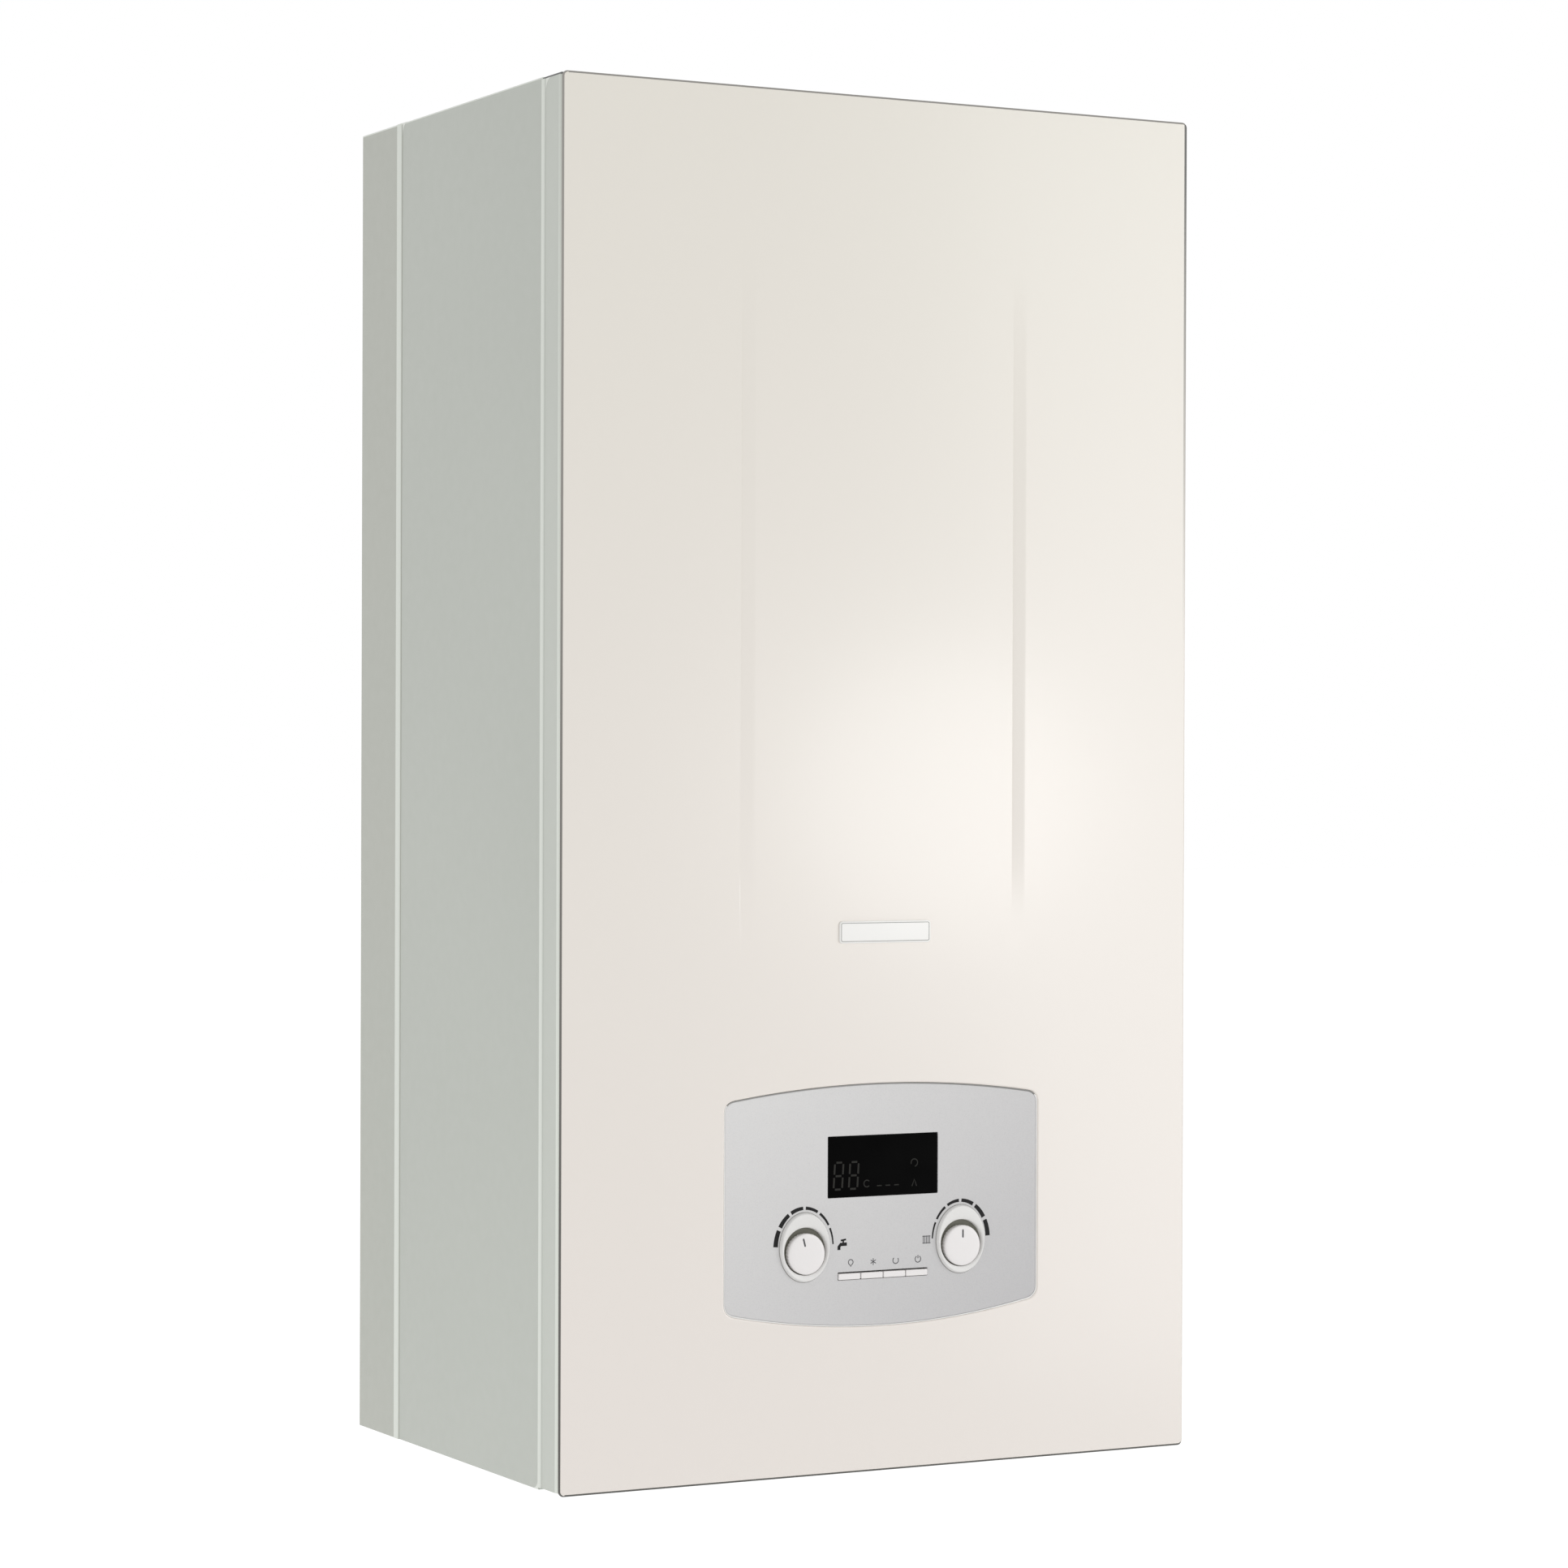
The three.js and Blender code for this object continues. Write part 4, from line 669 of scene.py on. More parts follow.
def stroke(mesh, path, width, face, back):
    """A flat line of constant or changing width along a path of (x, z) points."""
    widths = width if isinstance(width, list) else [width] * len(path)
    left, right = [], []
    for i, (x, z) in enumerate(path):
        before = path[max(i - 1, 0)]
        after = path[min(i + 1, len(path) - 1)]
        along = Vector((after[0] - before[0], after[1] - before[1])).normalized()
        side = Vector((-along.y, along.x)) * widths[i] / 2
        left.append((x + side.x, z + side.y))
        right.append((x - side.x, z - side.y))
    prism(mesh, left + right[::-1], face, back)


def mark(mesh, path, width, layer=0):
    """A printed stroke on the fascia; strokes that cross lie on layers of their own."""
    stroke(mesh, path, width, PRINT_FACE - LAYER * layer, PRINT_BACK)


# ---------------------------------------------------------------- CAD nodes that stay

BEVEL = 0.3
BEVELS = {  # where a bevel's width isn't the common one
    "rear_chassis": 0.35, "side_panel_left": 0.5, "side_panel_right": 0.5, "top_panel": 0.4,
    "front_cover_tray": 0.25, "wall_bracket": 0.4,
}
PAINT_OF = {"front_cover_tray": COVER_PAINT_LIT, "rear_chassis": REAR_PAINT_SHADED}


def dress_nodes():
    """Gives each CAD node its material and small bevels. The bottom plate stays flat shaded."""
    slots = {entry["node"]: entry["material_slot"] for entry in frame["record"]["subparts"]}
    for name, node in nodes.items():
        node.data.materials.clear()
        node.data.materials.append(PAINT_OF.get(name, MATERIALS[slots[name]]))
        custom = node.data.attributes.get("custom_normal")
        if custom:
            node.data.attributes.remove(custom)
        node.data.polygons.foreach_set("use_smooth", [name != "bottom_plate"] * len(node.data.polygons))
        weld = node.modifiers.new("weld", "WELD")
        weld.merge_threshold = 2e-6
        bevel = node.modifiers.new("bevel", "BEVEL")
        bevel.width = BEVELS.get(name, BEVEL) * MM
        bevel.segments = 2
        bevel.limit_method = "ANGLE"
        bevel.angle_limit = math.radians(35)
        bevel.miter_outer = "MITER_ARC"
        normals = node.modifiers.new("normals", "WEIGHTED_NORMAL")
        normals.keep_sharp = True
        normals.weight = 80


# ---------------------------------------------------------------- front


def crease_depth(x, z):
    """How far the pressed creases sink at a point of the front panel. Each drops at its left wall and rises
    evenly to its right edge; the ends fade out."""
    side = -1 if x < 0 else 1
    across = x - side * CREASE_X + CREASE_WIDTH / 2
    if not 0 < across < CREASE_WIDTH or not CREASE_LOW < z < CREASE_HIGH:
        return 0
    share = min(across / CREASE_WALL, (CREASE_WIDTH - across) / (CREASE_WIDTH - CREASE_WALL))
    end = min((z - CREASE_LOW) / CREASE_LOW_FADES[side], (CREASE_HIGH - z) / CREASE_HIGH_FADES[side], 1)
    return CREASE_DEPTHS[side] * share * math.sin(end * math.pi / 2)


def make_front_panel():
    """The enamelled face. Its rounded rim takes the dark band of painted shade, at the left only on its
    outer part.
    """
    mesh = Mesh()
    slope = [CREASE_WIDTH * i / 8 for i in range(1, 9)]
    extra = []
    for side in (-1, 1):
        left = side * CREASE_X - CREASE_WIDTH / 2
        for across in (-CREASE_MARGIN, 0, CREASE_WALL, *slope, CREASE_WIDTH + CREASE_MARGIN):
            extra.extend((left + across, CREASE_LOW + (j - 1) * CREASE_STEP) for j in range(CREASE_ROWS))
    outer = box(-HALF_WIDTH, HALF_WIDTH, 0, HEIGHT, PANEL_CORNER)
    opening = [lambda inward: fascia_outline(FASCIA_GAP + inward)]
    plate(mesh, outer, opening, FRONT, PANEL_BACK, PANEL_RIM, 0.9, extra, crease_depth)

    def finish_of(face):
        x = face.center.x / MM
        z = face.center.z / MM + BRACKET_Z
        out = max(abs(x) - HALF_WIDTH, abs(z - HEIGHT / 2) - HEIGHT / 2)
        if out < -PANEL_CORNER or abs(face.normal.y) > 0.999:
            return 0
        return 1 if x > PANEL_CORNER - HALF_WIDTH or abs(face.normal.y) < 0.9 else 0

    mesh.finish_of = finish_of
    mesh.piece("front_face", [MATERIALS["gloss_white_enamel"], PAINTED_EDGE_SHADE],
               "front_cover", ["front_panel"])


def make_badge():
    """The bare plaque, with a thin grey line round it."""
    outer = box(-BADGE_HALF, BADGE_HALF, BADGE_Z - BADGE_HALF_HEIGHT, BADGE_Z + BADGE_HALF_HEIGHT, 2)
    mesh = Mesh()
    plate(mesh, outer, [], BADGE_FACE, FRONT, 0.4)
    mesh.piece("badge_plate", MATERIALS["badge_white"], "front_cover", ["badge_plaque"])
    border = Mesh()
    near = BADGE_FACE - PRINT
    far = BADGE_FACE + 0.02
    border.tube([border.level(outer(inset), y)
                 for inset, y in ((0.9, near), (1.25, near), (1.25, far), (0.9, far))])
    border.piece("badge_border", GREY_PRINT_AND_SHADE, "front_cover")


def make_side_trims():
    """Thin sheets of painted highlight on the rounded corners of the side sheets, where the light line of
    the hem behind them flares, and a dark strip of painted shade on each end of the cover's top edge."""
    corner = 7
    thickness = 0.06
    corners = (  # y and z of the sharp corner, which way it points in y and z, and its body
        (COVER_REAR - 4.3, HEIGHT - 1.5, 1, 1, "front_cover"),
        (CHASSIS_FRONT - 0.3, HEIGHT, 1, 1, "boiler"),
        (COVER_REAR + 0.3, 0.3, -1, -1, "boiler"),
    )
    shade_strip_width = 2.5
    outer_x = SIDE_OUTER - 0.1
    inner_x = outer_x - shade_strip_width
    low = HEIGHT - 1.6
    high = HEIGHT - 0.6
    for side, word in ((-1, "left"), (1, "right")):
        for number, (y, z, toward, up, body) in enumerate(corners):
            path = [(y, z)]
            for i in range(9):
                angle = math.pi / 2 * i / 8
                path.append((y - toward * corner * (1 - math.sin(angle)),
                             z - up * corner * (1 - math.cos(angle))))
            # a thin sheet of painted highlight
            hem = Mesh()
            hem.solid([hem.ring([(side * x, py, pz) for py, pz in path])
                       for x in (SIDE_OUTER + thickness, SIDE_OUTER)])
            hem.piece(f"hem_highlight_corner_{word}_{number}", FOLD_HIGHLIGHT, body)
        # a dark strip of painted shade
        shade_strip = Mesh()
        rings = []
        for inset, y in ((0.3, COVER_FRONT + 0.2), (0, COVER_FRONT + 0.6), (0, COVER_REAR - 0.6),
                         (0.3, COVER_REAR - 0.2)):
            section = ((inner_x, low), (outer_x - inset, low), (outer_x - inset, high - inset),
                       (inner_x, high - inset))
            rings.append(shade_strip.ring([(side * x, y, z) for x, z in section]))
        shade_strip.solid(rings)
        shade_strip.piece(f"cover_top_shade_strip_{word}", SHADE_STRIP_GREY, "front_cover")


# ---------------------------------------------------------------- controls


def make_fascia():
    mesh = Mesh()
    slot_half = 1.5 * BUTTON_PITCH + BUTTON_WIDTH / 2 + OPENING_GAP
    window = box(-WINDOW_HALF - OPENING_GAP, WINDOW_HALF + OPENING_GAP, WINDOW_LOW - OPENING_GAP,
                 WINDOW_HIGH + OPENING_GAP, 0.5, 4)
    slot = box(-slot_half, slot_half, BUTTON_Z - 2, BUTTON_Z + 2.5, 0.5, 4)

    def well_hole(x):
        return lambda inward: circle(WELL_RADIUS + 1.3 + inward, x, KNOB_Z + WELL_RISE, 48)

    holes = [well_hole(-KNOB_X), well_hole(KNOB_X),
             lambda inward: window(-inward), lambda inward: slot(-inward)]
    plate(mesh, lambda inward: fascia_outline(-inward), holes, FASCIA_FACE, FASCIA_BACK, 0.5, 0.25)
    mesh.piece("fascia_plate", MATERIALS["fascia_silver"], "boiler", ["fascia"])


def make_fascia_bead():
    """The bead in the gap between the front panel's opening and the fascia: white along its lower run and
    sides as a painted highlight, and grey along its upper run as painted shade.
    """
    mesh = Mesh()
    profile = ((0.02, FASCIA_BACK), (0.02, FASCIA_FACE - 0.1), (0.2, FASCIA_FACE - 0.32),
               (0.42, FASCIA_FACE - 0.3), (0.58, FASCIA_FACE - 0.05), (0.58, FASCIA_BACK))
    mesh.tube([mesh.level(fascia_outline(margin), y) for margin, y in profile])
    # upper run grey as painted shade, the rest white as painted highlight
    mesh.finish_of = lambda face: int(face.center.z / MM + BRACKET_Z > FASCIA_HIGH - 1)
    mesh.piece("fascia_bead", [BEAD_HIGHLIGHT_WHITE, GREY_PRINT_AND_SHADE])


def make_window():
    mesh = Mesh()
    outer = box(-WINDOW_HALF, WINDOW_HALF, WINDOW_LOW, WINDOW_HIGH, 0.8, 4)
    plate(mesh, outer, [], WINDOW_FACE, WINDOW_BACK, 0.25)
    mesh.piece("display_pane", MATERIALS["window_black"], "boiler", ["display_window"])


def make_collar(name, x):
    """The raised oval ring. Its outer edge sits higher than the round well, so it is widest at the top."""
    outer_z = KNOB_Z + COLLAR_RISE
    well_z = KNOB_Z + WELL_RISE
    profile = [  # share of the way out from the well to the oval, growth beyond that, centre's z, and y
        (0, 1, well_z, FASCIA_BACK - 0.3),
        (0, 1, well_z, FASCIA_FACE + 0.3),
        (1, 0, outer_z, FASCIA_FACE),
        (1, -0.1, outer_z, FASCIA_FACE - 0.9),
        (1, -0.45, outer_z, COLLAR_FRONT + 0.5),
        (1, -0.75, outer_z, COLLAR_FRONT + 0.1),
        (1, -1.05, outer_z - 0.1, COLLAR_FRONT),
        (0.25, 0.35, well_z + 0.4, COLLAR_FRONT + 0.1),
        (0, 0.45, well_z + 0.1, COLLAR_FRONT + 0.5),
        (0, 0.15, well_z, COLLAR_FRONT + 1.2),
        (0, 0, well_z, FASCIA_FACE),
        (0, 0, well_z, FASCIA_BACK - 0.3),
    ]
    mesh = Mesh()
    rings = []
    for share, grown, z, y in profile:
        half_width = WELL_RADIUS + (COLLAR_HALF_WIDTH - WELL_RADIUS) * share + grown
        half_height = WELL_RADIUS + (COLLAR_HALF_HEIGHT - WELL_RADIUS) * share + grown
        rings.append(mesh.level(oval(half_width, half_height, x, z), y))
    mesh.tube(rings)
    mesh.piece(f"{name}_ring", RING_PLASTIC, "boiler", [f"{name}_collar"], 50)


def make_ring_foot(name, x):
    """A thin grey line of painted shadow where the ring meets the fascia."""
    mesh = Mesh()
    rings = []
    for grown, y in ((-0.1, PRINT_FACE), (0.35, PRINT_FACE), (0.35, PRINT_BACK), (-0.1, PRINT_BACK)):
        outline = oval(COLLAR_HALF_WIDTH + grown, COLLAR_HALF_HEIGHT + grown, x, KNOB_Z + COLLAR_RISE)
        rings.append(mesh.level(outline, y))
    mesh.tube(rings)
    mesh.piece(f"{name}_ring_foot", GREY_PRINT_AND_SHADE)


def make_well(name, x):
    """The floor between the ring and the knob, painted dark grey-olive as the shade in the well, finely
    ribbed at its inner edge.
    """
    mesh = Mesh()
    outer = circle(WELL_RADIUS - 0.05, x, KNOB_Z + WELL_RISE, KNOB_SIDES)
    inner = circle(CAP_RADIUS - 1.2, x, KNOB_Z, KNOB_SIDES)
    outer_front = mesh.level(outer, FASCIA_FACE + 0.4)
    outer_back = mesh.level(outer, FASCIA_FACE + 1.2)
    inner_front = mesh.ring([(px, FASCIA_FACE + 0.9 + 0.25 * (i % 2), pz)
                             for i, (px, pz) in enumerate(inner)])
    inner_back = mesh.level(inner, FASCIA_FACE + 1.5)
    mesh.tube([outer_front, inner_front, inner_back, outer_back])
    mesh.piece(f"{name}_well", WELL_SHADE_GREY)


def make_knob(name, x, tilt_degrees):
    """A slightly domed cap on its shaft, finely ribbed round its skirt, with a dark inlay as pointer."""
    body = f"{name}_dial"
    mesh = Mesh()
    profile = [(SHAFT_RADIUS, SHAFT_BACK), (SHAFT_RADIUS, CAP_BACK), (CAP_RADIUS - 0.3, CAP_BACK),
               (CAP_RADIUS - 0.15, CAP_FRONT + 2.4), (CAP_RADIUS - 0.12, CAP_FRONT + 1.0),
               (CAP_RADIUS - 0.1, CAP_FRONT + 0.85), (CAP_RADIUS - 0.35, CAP_FRONT + 0.35),
               (CAP_RADIUS - 0.85, CAP_FRONT + 0.1)]
    rings = []
    for radius, y in profile:
        rib = RIB_HEIGHT if radius > SHAFT_RADIUS and y > CAP_FRONT + 0.9 else 0
        ring = []
        for i in range(KNOB_SIDES):
            angle = 2 * math.pi * i / KNOB_SIDES
            r = radius + rib * math.cos(KNOB_RIBS * angle)
            ring.append((x + r * math.cos(angle), y, KNOB_Z + r * math.sin(angle)))
        rings.append(mesh.ring(ring))
    mesh.loft(rings)
    mesh.cap(rings[0])
    tilt = math.radians(tilt_degrees)
    groove = box(-GROOVE_HALF, GROOVE_HALF, CAP_RADIUS * 0.38, CAP_RADIUS * 0.8, GROOVE_HALF, 4)

    def turned(outline):
        return [(x + px * math.cos(tilt) - pz * math.sin(tilt),
                 KNOB_Z + px * math.sin(tilt) + pz * math.cos(tilt)) for px, pz in outline]

    def dome(px, pz):
        return -0.09 * (1 - ((px - x) ** 2 + (pz - KNOB_Z) ** 2) / CAP_RADIUS ** 2)

    edge = mesh.level(turned(groove(0)), CAP_FRONT + 0.1)
    floor = mesh.level(turned(groove(0)), CAP_FRONT + 0.4)
    mesh.loft([edge, floor])
    mesh.cap(floor)
    spots = [spot for radius in (0.01, 3, 6, 8.5) for spot in circle(radius, x, KNOB_Z, 32)]
    mesh.flat([rings[-1], edge], spots, dome)
    mesh.piece(f"{name}_cap", MATERIALS["white_plastic"], body, [f"{name}_knob"], 45)
    pointer = Mesh()
    prism(pointer, turned(groove(0.03)), CAP_FRONT + 0.14, CAP_FRONT + 0.39)
    pointer.piece(f"{name}_pointer", INK_GREY, body)


def make_buttons():
    for name, place in (("summer", -1.5), ("winter", -0.5), ("reset", 0.5), ("power", 1.5)):
        mesh = Mesh()
        x = place * BUTTON_PITCH
        outer = box(x - BUTTON_WIDTH / 2, x + BUTTON_WIDTH / 2, BUTTON_Z - BUTTON_HEIGHT / 2,
                    BUTTON_Z + BUTTON_HEIGHT / 2, 0.5, 4, 0.5)
        plate(mesh, outer, [], BUTTON_FRONT, FASCIA_BACK, 0.45)
        mesh.piece(f"{name}_keycap", MATERIALS["white_plastic"], f"{name}_key",
                   [f"{name}_button"])


def make_scales():
    """Six dashes round each knob, thick on the outer side of the pair."""
    mesh = Mesh()
    half_width = COLLAR_HALF_WIDTH + 2.5
    half_height = COLLAR_HALF_HEIGHT + 2.5
    dash = 30
    gap = 2.6
    steps = 8
    for x, mirror in ((-KNOB_X, 1), (KNOB_X, -1)):
        for i in range(6):
            start = 180 - i * dash - gap
            end = 180 - (i + 1) * dash + gap
            path = []
            widths = []
            for j in range(steps + 1):
                degrees = start + (end - start) * j / steps
                angle = math.radians(degrees)
                path.append((x + mirror * half_width * math.cos(angle),
                             KNOB_Z + COLLAR_RISE + half_height * math.sin(angle)))
                widths.append(0.8 + 2.1 * degrees / 180)
            mark(mesh, path, widths)
    mesh.piece("knob_scales", INK_BLACK)


def make_symbols():
    """A tap and a radiator beside the knobs, and lamp, frost, reset and power signs over the buttons."""
    dark = Mesh()
    x, z = -25.9, 128
    mark(dark, [(x - 2.2, z - 2.9), (x - 2.2, z - 1.2), (x - 1.2, z + 0.1), (x + 2.8, z + 0.2)], 1.9)
    mark(dark, [(x + 0.5, z + 0.2), (x + 0.5, z + 2.2)], 1.0, 1)
    mark(dark, [(x - 1.1, z + 2.3), (x + 2.3, z + 2.8)], 1.0, 2)
    dark.piece("tap_symbol", INK_BLACK)

    grey = Mesh()
    x, z = 28.1, 128.2
    for offset in (-2.1, -1.05, 0, 1.05, 2.1):
        mark(grey, [(x + offset, z - 2.3), (x + offset, z + 2.3)], 0.4)
    for rise in (-1.9, 1.9):
        mark(grey, [(x - 2.6, z + rise), (x + 2.6, z + rise)], 0.4, 1)
    x, z = -20.6, 117.5
    mark(grey, arc(x, z + 0.4, 1.5, -60, 240), 0.5)
    mark(grey, [(x - 0.7, z - 0.9), (x, z - 2.0), (x + 0.7, z - 0.9)], 0.5, 1)
    x += BUTTON_PITCH
    for i in range(3):
        across = 1.9 * math.cos(math.radians(30 + i * 60))
        upward = 1.9 * math.sin(math.radians(30 + i * 60))
        mark(grey, [(x - across, z - upward), (x + across, z + upward)], 0.45, i)
    x += BUTTON_PITCH
    mark(grey, arc(x, z, 1.8, 130, 400), 0.5)
    x += BUTTON_PITCH
    mark(grey, arc(x, z, 1.8, 120, 420), 0.5)
    mark(grey, [(x, z + 0.4), (x, z + 2.2)], 0.5, 1)
    grey.piece("key_symbols", INK_GREY)


SEGMENTS = (  # start and end of each stroke of a digit, in units of its half width and half height
    ((-1, 1), (1, 1)), ((-1, 0), (1, 0)), ((-1, -1), (1, -1)), ((-1, 0), (-1, 1)), ((1, 0), (1, 1)),
    ((-1, -1), (-1, 0)), ((1, -1), (1, 0)),
)


def make_display():
    """The unlit figures and signs of the display, barely lighter than its pane."""
    mesh = Mesh()
    half_width = 2.7
    half_height = 7.5
    slant = 0.06
    digit_z = 166.4

    def draw(path, width=0.6):
        stroke(mesh, path, width, WINDOW_FACE - 0.03, WINDOW_FACE + 0.02)

    for x in (-28.6, -18.9):
        for ends in SEGMENTS:
            start, end = [Vector((x + u * half_width + slant * v * half_height, digit_z + v * half_height))
                          for u, v in ends]
            along = (end - start).normalized() * 0.9
            draw([tuple(start + along), tuple(end - along)], 1.1)
    draw(arc(-10.5, 161.5, 1.9, 40, 320))
    for x in (-4, 1.5, 7):
        draw([(x, 160), (x + 3, 160)])
    draw([(18.5, 158.8), (20, 162.6), (21.5, 158.8)])
    draw(arc(20, 172, 2.1, -80, 200))
    mesh.piece("display_digits", LCD_OLIVE)


# ---------------------------------------------------------------- back, top, underside and inside


def make_back():
    """Three pressed beads on the chassis's back, two rows of spot welds, and two pads against the wall."""
    bead_half = 10
    bead_rise = 2.6
    beads = Mesh()
    for x in (-115, 0, 115):
        outline = box(x - bead_half, x + bead_half, 150, 585, bead_half - 0.1)
        rings = [beads.level(outline(inset), BACK_PLATE + bead_rise * share)
                 for inset, share in ((0, -0.05), (1.2, 0.35), (2.6, 0.85), (4, 1))]
        beads.loft(rings)
        beads.cap(rings[-1])
    beads.piece("back_beads", REAR_PAINT_SHADED, smooth=60)
    weld_low = 60
    weld_pitch = 82
    profile = [(3.4, -0.1), (3.2, 0.14), (2.2, 0.2), (1.4, 0.02)]
    welds = Mesh()
    for x in (-188, 188):
        for i in range(9):
            lathe(welds, profile, (x, BACK_PLATE, weld_low + i * weld_pitch), BACKWARD, 20)
    welds.piece("back_spot_welds", REAR_PAINT_SHADED)
    pad_half = 16
    pad_z = 86
    pads = Mesh()
    for x in (-150, 150):
        outline = box(x - pad_half, x + pad_half, pad_z - pad_half, pad_z + pad_half, 4)
        rings = [pads.level(outline(inset), y)
                 for inset, y in ((0, BACK_PLATE), (0, -1.6), (0.5, -0.9), (1.4, -0.6))]
        pads.loft(rings)
        pads.cap(rings[-1])
    pads.piece("wall_pads", MATERIALS["black_plastic"])


def make_flue_trim():
    """Rubber lips inside the flue tube and the air inlet, and the flange's four screws."""
    lips = Mesh()
    centre = (0, FLUE_Y, HEIGHT)
    tube_lip = [(25.45, -7), (25.45, -0.6), (24.2, -0.4), (23, -2.4), (23.6, -5.6)]
    inlet_lip = [(44, -5), (44, -0.5), (42.6, -0.5), (41.6, -2.2), (42.4, -4.6)]
    lathe(lips, tube_lip, centre, UP, 64, True)
    lathe(lips, inlet_lip, centre, UP, 64, True)
    lips.piece("flue_seals", MATERIALS["dark_rubber"])
    flange_holes = 47.7
    screws = Mesh()
    for x, y in circle(flange_holes, 0, FLUE_Y, 8)[1::2]:
        screw(screws, (x, y, HEIGHT), UP, 2.6, 1.2)
    screws.piece("flue_screws", SCREW_STEEL, smooth=40)


def make_underside():
    """Threads on the union tails, with fibre washers under the nuts, and the bottom plate's screws."""
    pitch = 1.8
    crest = 9.3
    root = 8.1
    low = 2.4
    high = 12.6
    nut_face = 13.9
    thread_profile = [(root, low - 0.4)]
    for i in range(int((high - low) / pitch)):
        z = low + i * pitch
        thread_profile.extend([(root, z), (crest, z + 0.35 * pitch), (crest, z + 0.6 * pitch)])
    thread_profile.extend([(root, high), (root - 0.6, high), (root - 0.6, low - 0.4)])
    washer_profile = [(root, nut_face - 1.2), (12.2, nut_face - 1.2), (12.6, nut_face - 0.8),
                      (12.6, nut_face), (root, nut_face)]
    for place, name in enumerate(("heating_flow", "hot_water", "gas", "cold_water", "heating_return"), -2):
        centre = (place * UNION_PITCH, UNION_Y, 0)
        thread = Mesh()
        lathe(thread, thread_profile, centre, UP, 48, True)
        thread.piece(f"{name}_thread", MATERIALS["brass"], smooth=60)
        washer = Mesh()
        lathe(washer, washer_profile, centre, UP, 48, True)
        washer.piece(f"{name}_washer", WASHER_RED)
    screws = Mesh()
    for x, y in ((-170, -75), (-32, -75), (32, -75), (170, -75), (-130, -215), (130, -215)):
        screw(screws, (x, y, BOTTOM_PLATE_Z), DOWN)
    screws.piece("bottom_screws", SCREW_STEEL, smooth=40)


def make_air_box_trim():
    """Screws round the air box cover's rim, a stiffening bead on its field, and the ringed sight glass."""
    edge = 192.3
    low = AIR_BOX_LOW + 5
    high = HEIGHT - 6.8
    end = 12
    places = [(side * edge, low + end + (high - low - 2 * end) * i / 5)
              for side in (-1, 1) for i in range(6)]
    for i in range(4):
        x = edge * (0.5 * i - 0.75)
        places.extend([(x, low), (x, high)])
    screws = Mesh()
    for x, z in places:
        screw(screws, (x, AIR_BOX_RIM_FACE, z), FORWARD, 3, 1.6)
    screws.piece("air_box_screws", SCREW_STEEL, smooth=40)

    bead = Mesh()
    outline = box(-150, 150, 460, 735, 22)
    profile = [(0, 0.05), (1.5, -1.0), (3, -1.5), (7, -1.5), (8.5, -1.0), (10, 0.05)]
    bead.loft([bead.level(outline(inset), AIR_BOX_FACE + rise) for inset, rise in profile])
    bead.piece("air_box_bead", MATERIALS["zinc_steel"])

    sight = (0, AIR_BOX_FACE, SIGHT_Z)
    ring = Mesh()
    profile = [(8.1, -0.6), (8.1, 1.6), (9, 2.2), (12, 2.2), (13, 1.4), (13, 0)]
    lathe(ring, profile, sight, FORWARD, 48, True)
    for x, z in circle(16.5, 0, SIGHT_Z, 8)[1::4]:
        screw(ring, (x, AIR_BOX_FACE, z), FORWARD, 2.2, 1.2)
    ring.piece("sight_glass_ring", SCREW_STEEL)
    glass = Mesh()
    lathe(glass, [(8, -0.4), (8, 0.5), (7.2, 0.9)], sight, FORWARD)
    glass.piece("sight_glass", MATERIALS["window_black"])


# ---------------------------------------------------------------- stage, in metres and radians

FLOOR_REACH = 40
FLOOR_Z = -1.56
CAMERA_PLACE = (-1.1786, -2.3944, -0.2606)
CAMERA_YAW = 0.48604
CAMERA_PITCH = -0.00594
CAMERA_ROLL = 0.00326
SENSOR_WIDTH = 36  # millimetres
FOCAL_PIXELS = 5308.5
PHOTO_PIXELS = 1932


def make_floor():
    corners = [(x * FLOOR_REACH, y * FLOOR_REACH, FLOOR_Z)
               for x, y in ((-1, -1), (1, -1), (1, 1), (-1, 1))]
    mesh = bpy.data.meshes.new("floor")
    mesh.from_pydata(corners, [], [(0, 1, 2, 3)])
    floor = bpy.data.objects.new("floor", mesh)
    bpy.context.scene.collection.objects.link(floor)
    n = Nodes("floor_white")
    n.set(Base_Color=n.mix(n.ramp(n.noise(2), 0.3, 0.7), (0.86, 0.86, 0.86, 1), (0.84, 0.84, 0.84, 1)))
    n.set(Roughness=0.9, Specular_IOR_Level=0, Emission_Color=(1, 1, 1, 1))
    n.set(Emission_Strength=seen(n.tree, 0.0, 0.45))
    mesh.materials.append(n.material)


def seen(tree, otherwise, shown):
    """A number that is one thing for camera, mirror and glass rays, and another for lighting."""
    path = tree.nodes.new("ShaderNodeLightPath")
    total = path.outputs["Is Camera Ray"]
    for name in ("Is Glossy Ray", "Is Transmission Ray"):
        node = tree.nodes.new("ShaderNodeMath")
        node.operation = "MAXIMUM"
        tree.links.new(total, node.inputs[0])
        tree.links.new(path.outputs[name], node.inputs[1])
        total = node.outputs["Value"]
    spread = tree.nodes.new("ShaderNodeMapRange")
    tree.links.new(total, spread.inputs["Value"])
    spread.inputs["To Min"].default_value = otherwise
    spread.inputs["To Max"].default_value = shown
    return spread.outputs["Result"]


def make_world():
    world = bpy.data.worlds.new("studio")
    world.use_nodes = True
    background = world.node_tree.nodes["Background"]
    background.inputs["Color"].default_value = (1, 1, 1, 1)
    world.node_tree.links.new(seen(world.node_tree, 0.75, 1.0), background.inputs["Strength"])
    bpy.context.scene.world = world


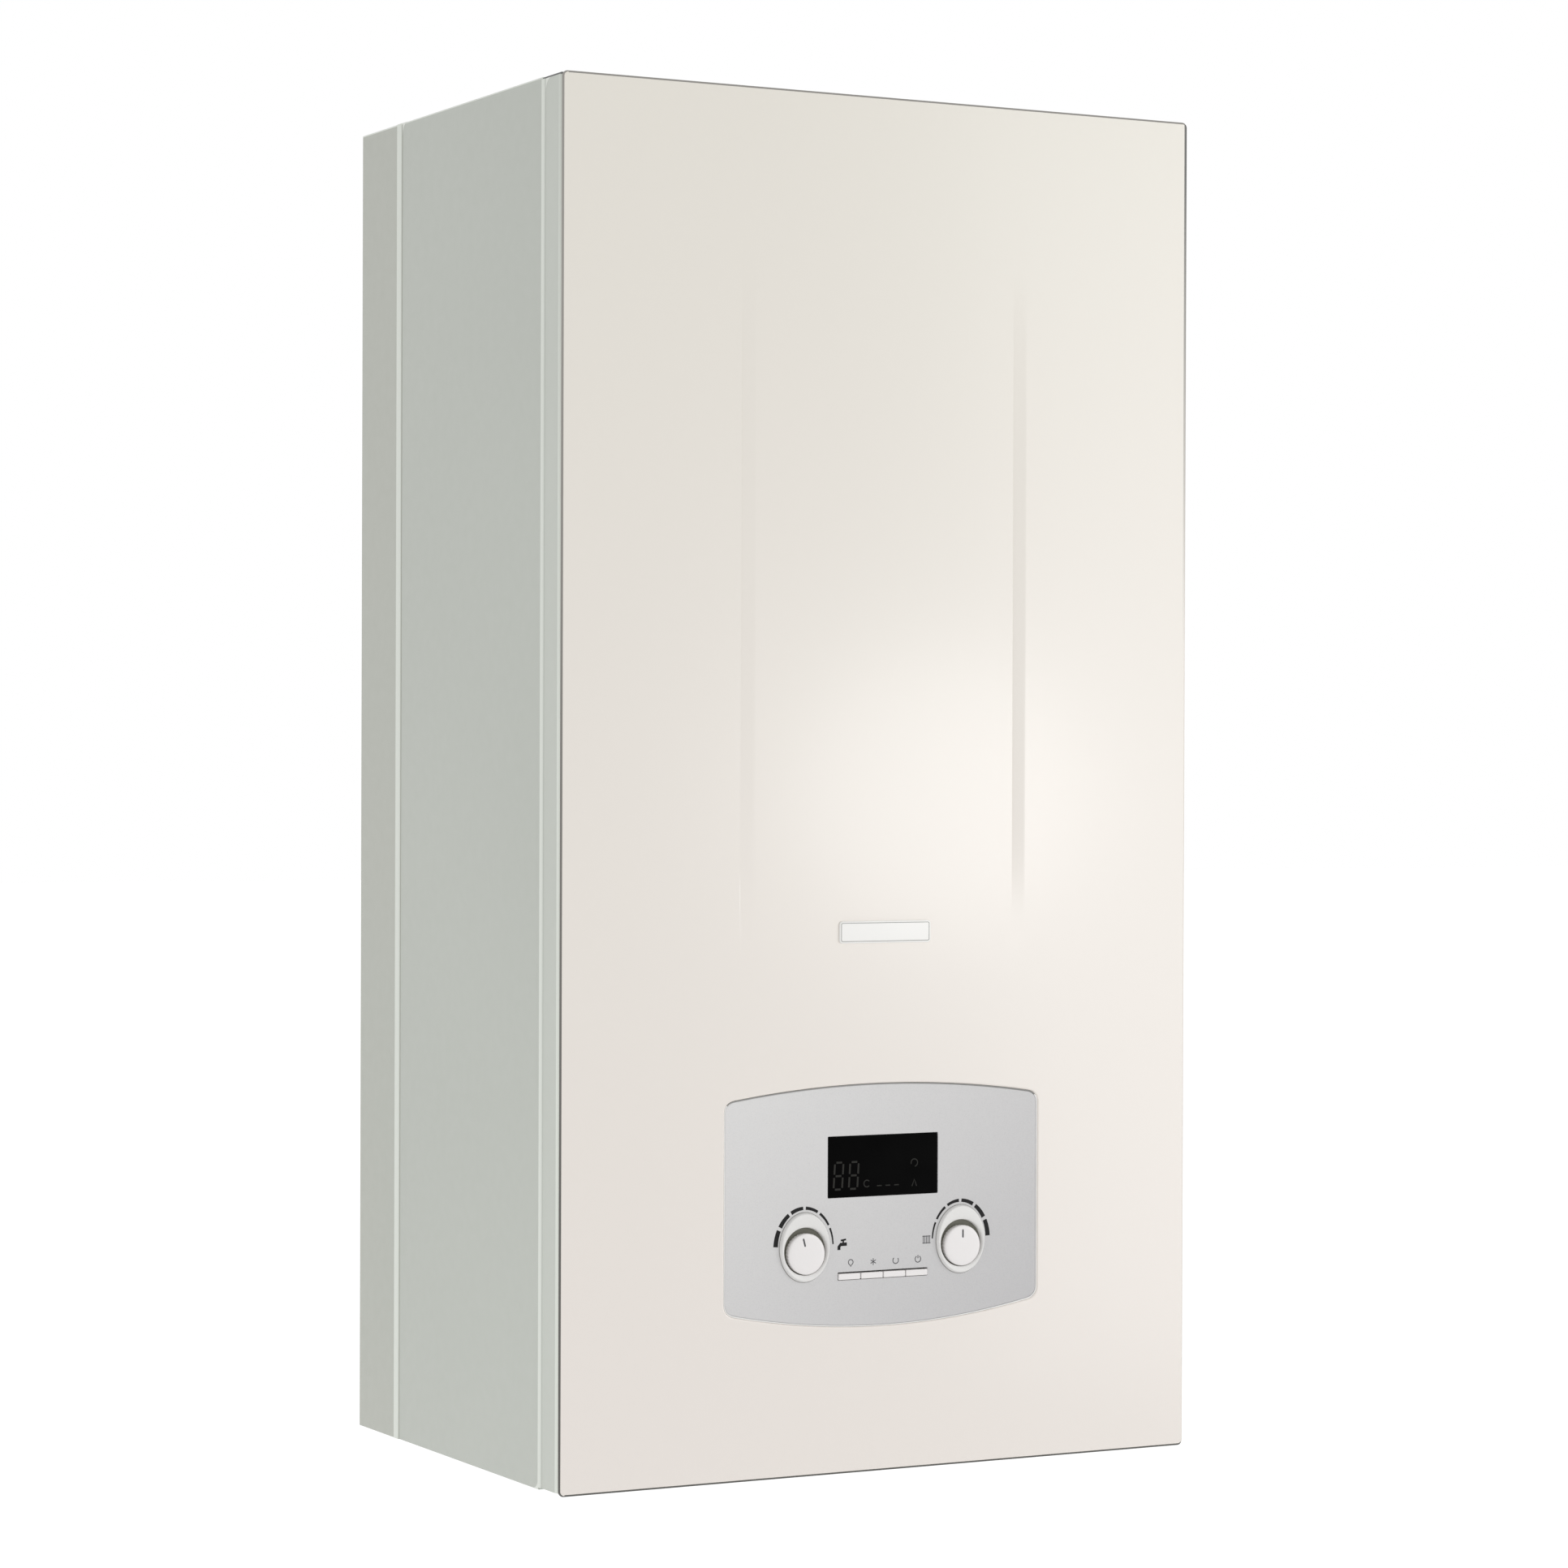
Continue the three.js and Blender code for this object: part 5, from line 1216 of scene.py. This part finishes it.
def area_light(name, place, target, size, watts, shape="SQUARE"):
    light = bpy.data.lights.new(name, "AREA")
    light.shape = shape
    light.size = size
    light.energy = watts
    lamp = bpy.data.objects.new(name, light)
    lamp.location = place
    lamp.rotation_mode = "QUATERNION"
    lamp.rotation_quaternion = (Vector(target) - Vector(place)).to_track_quat("-Z", "Y")
    bpy.context.scene.collection.objects.link(lamp)


def make_camera():
    level = math.cos(CAMERA_PITCH)
    forward = Vector((math.sin(CAMERA_YAW) * level, math.cos(CAMERA_YAW) * level, math.sin(CAMERA_PITCH)))
    right = Vector((math.cos(CAMERA_YAW), -math.sin(CAMERA_YAW), 0))
    up = right.cross(forward)
    across = right * math.cos(CAMERA_ROLL) + up * math.sin(CAMERA_ROLL)
    upward = up * math.cos(CAMERA_ROLL) - right * math.sin(CAMERA_ROLL)
    turn = Matrix((across, upward, -forward)).transposed()
    data = bpy.data.cameras.new("camera")
    data.sensor_width = SENSOR_WIDTH
    data.lens = SENSOR_WIDTH * FOCAL_PIXELS / PHOTO_PIXELS
    data.clip_start = 0.05
    data.clip_end = 200
    camera = bpy.data.objects.new("camera", data)
    camera.matrix_world = Matrix.Translation(CAMERA_PLACE) @ turn.to_4x4()
    bpy.context.scene.collection.objects.link(camera)
    bpy.context.scene.camera = camera


make_camera()
dress_nodes()
make_front_panel()
make_badge()
make_side_trims()
make_fascia()
make_fascia_bead()
make_window()
for x, knob, tilt in ((-KNOB_X, "hot_water", 15), (KNOB_X, "heating", 0)):
    make_collar(knob, x)
    make_ring_foot(knob, x)
    make_well(knob, x)
    make_knob(knob, x, tilt)
make_buttons()
make_scales()
make_symbols()
make_display()
make_back()
make_flue_trim()
make_underside()
make_air_box_trim()
make_floor()
make_world()
area_light("key", (2.35, -2.4, -0.12), (0, -0.28, -0.3), 1.9, 23.8)
area_light("highlight", (1.31, -2.5, -0.3), (0.05, -0.285, -0.26), 0.34, 1.6, "DISK")
area_light("low_fill", (-1.25, -0.6, -1.35), (-0.2, -0.15, -0.6), 0.6, 3.0)
bpy.context.scene.view_settings.view_transform = "Standard"
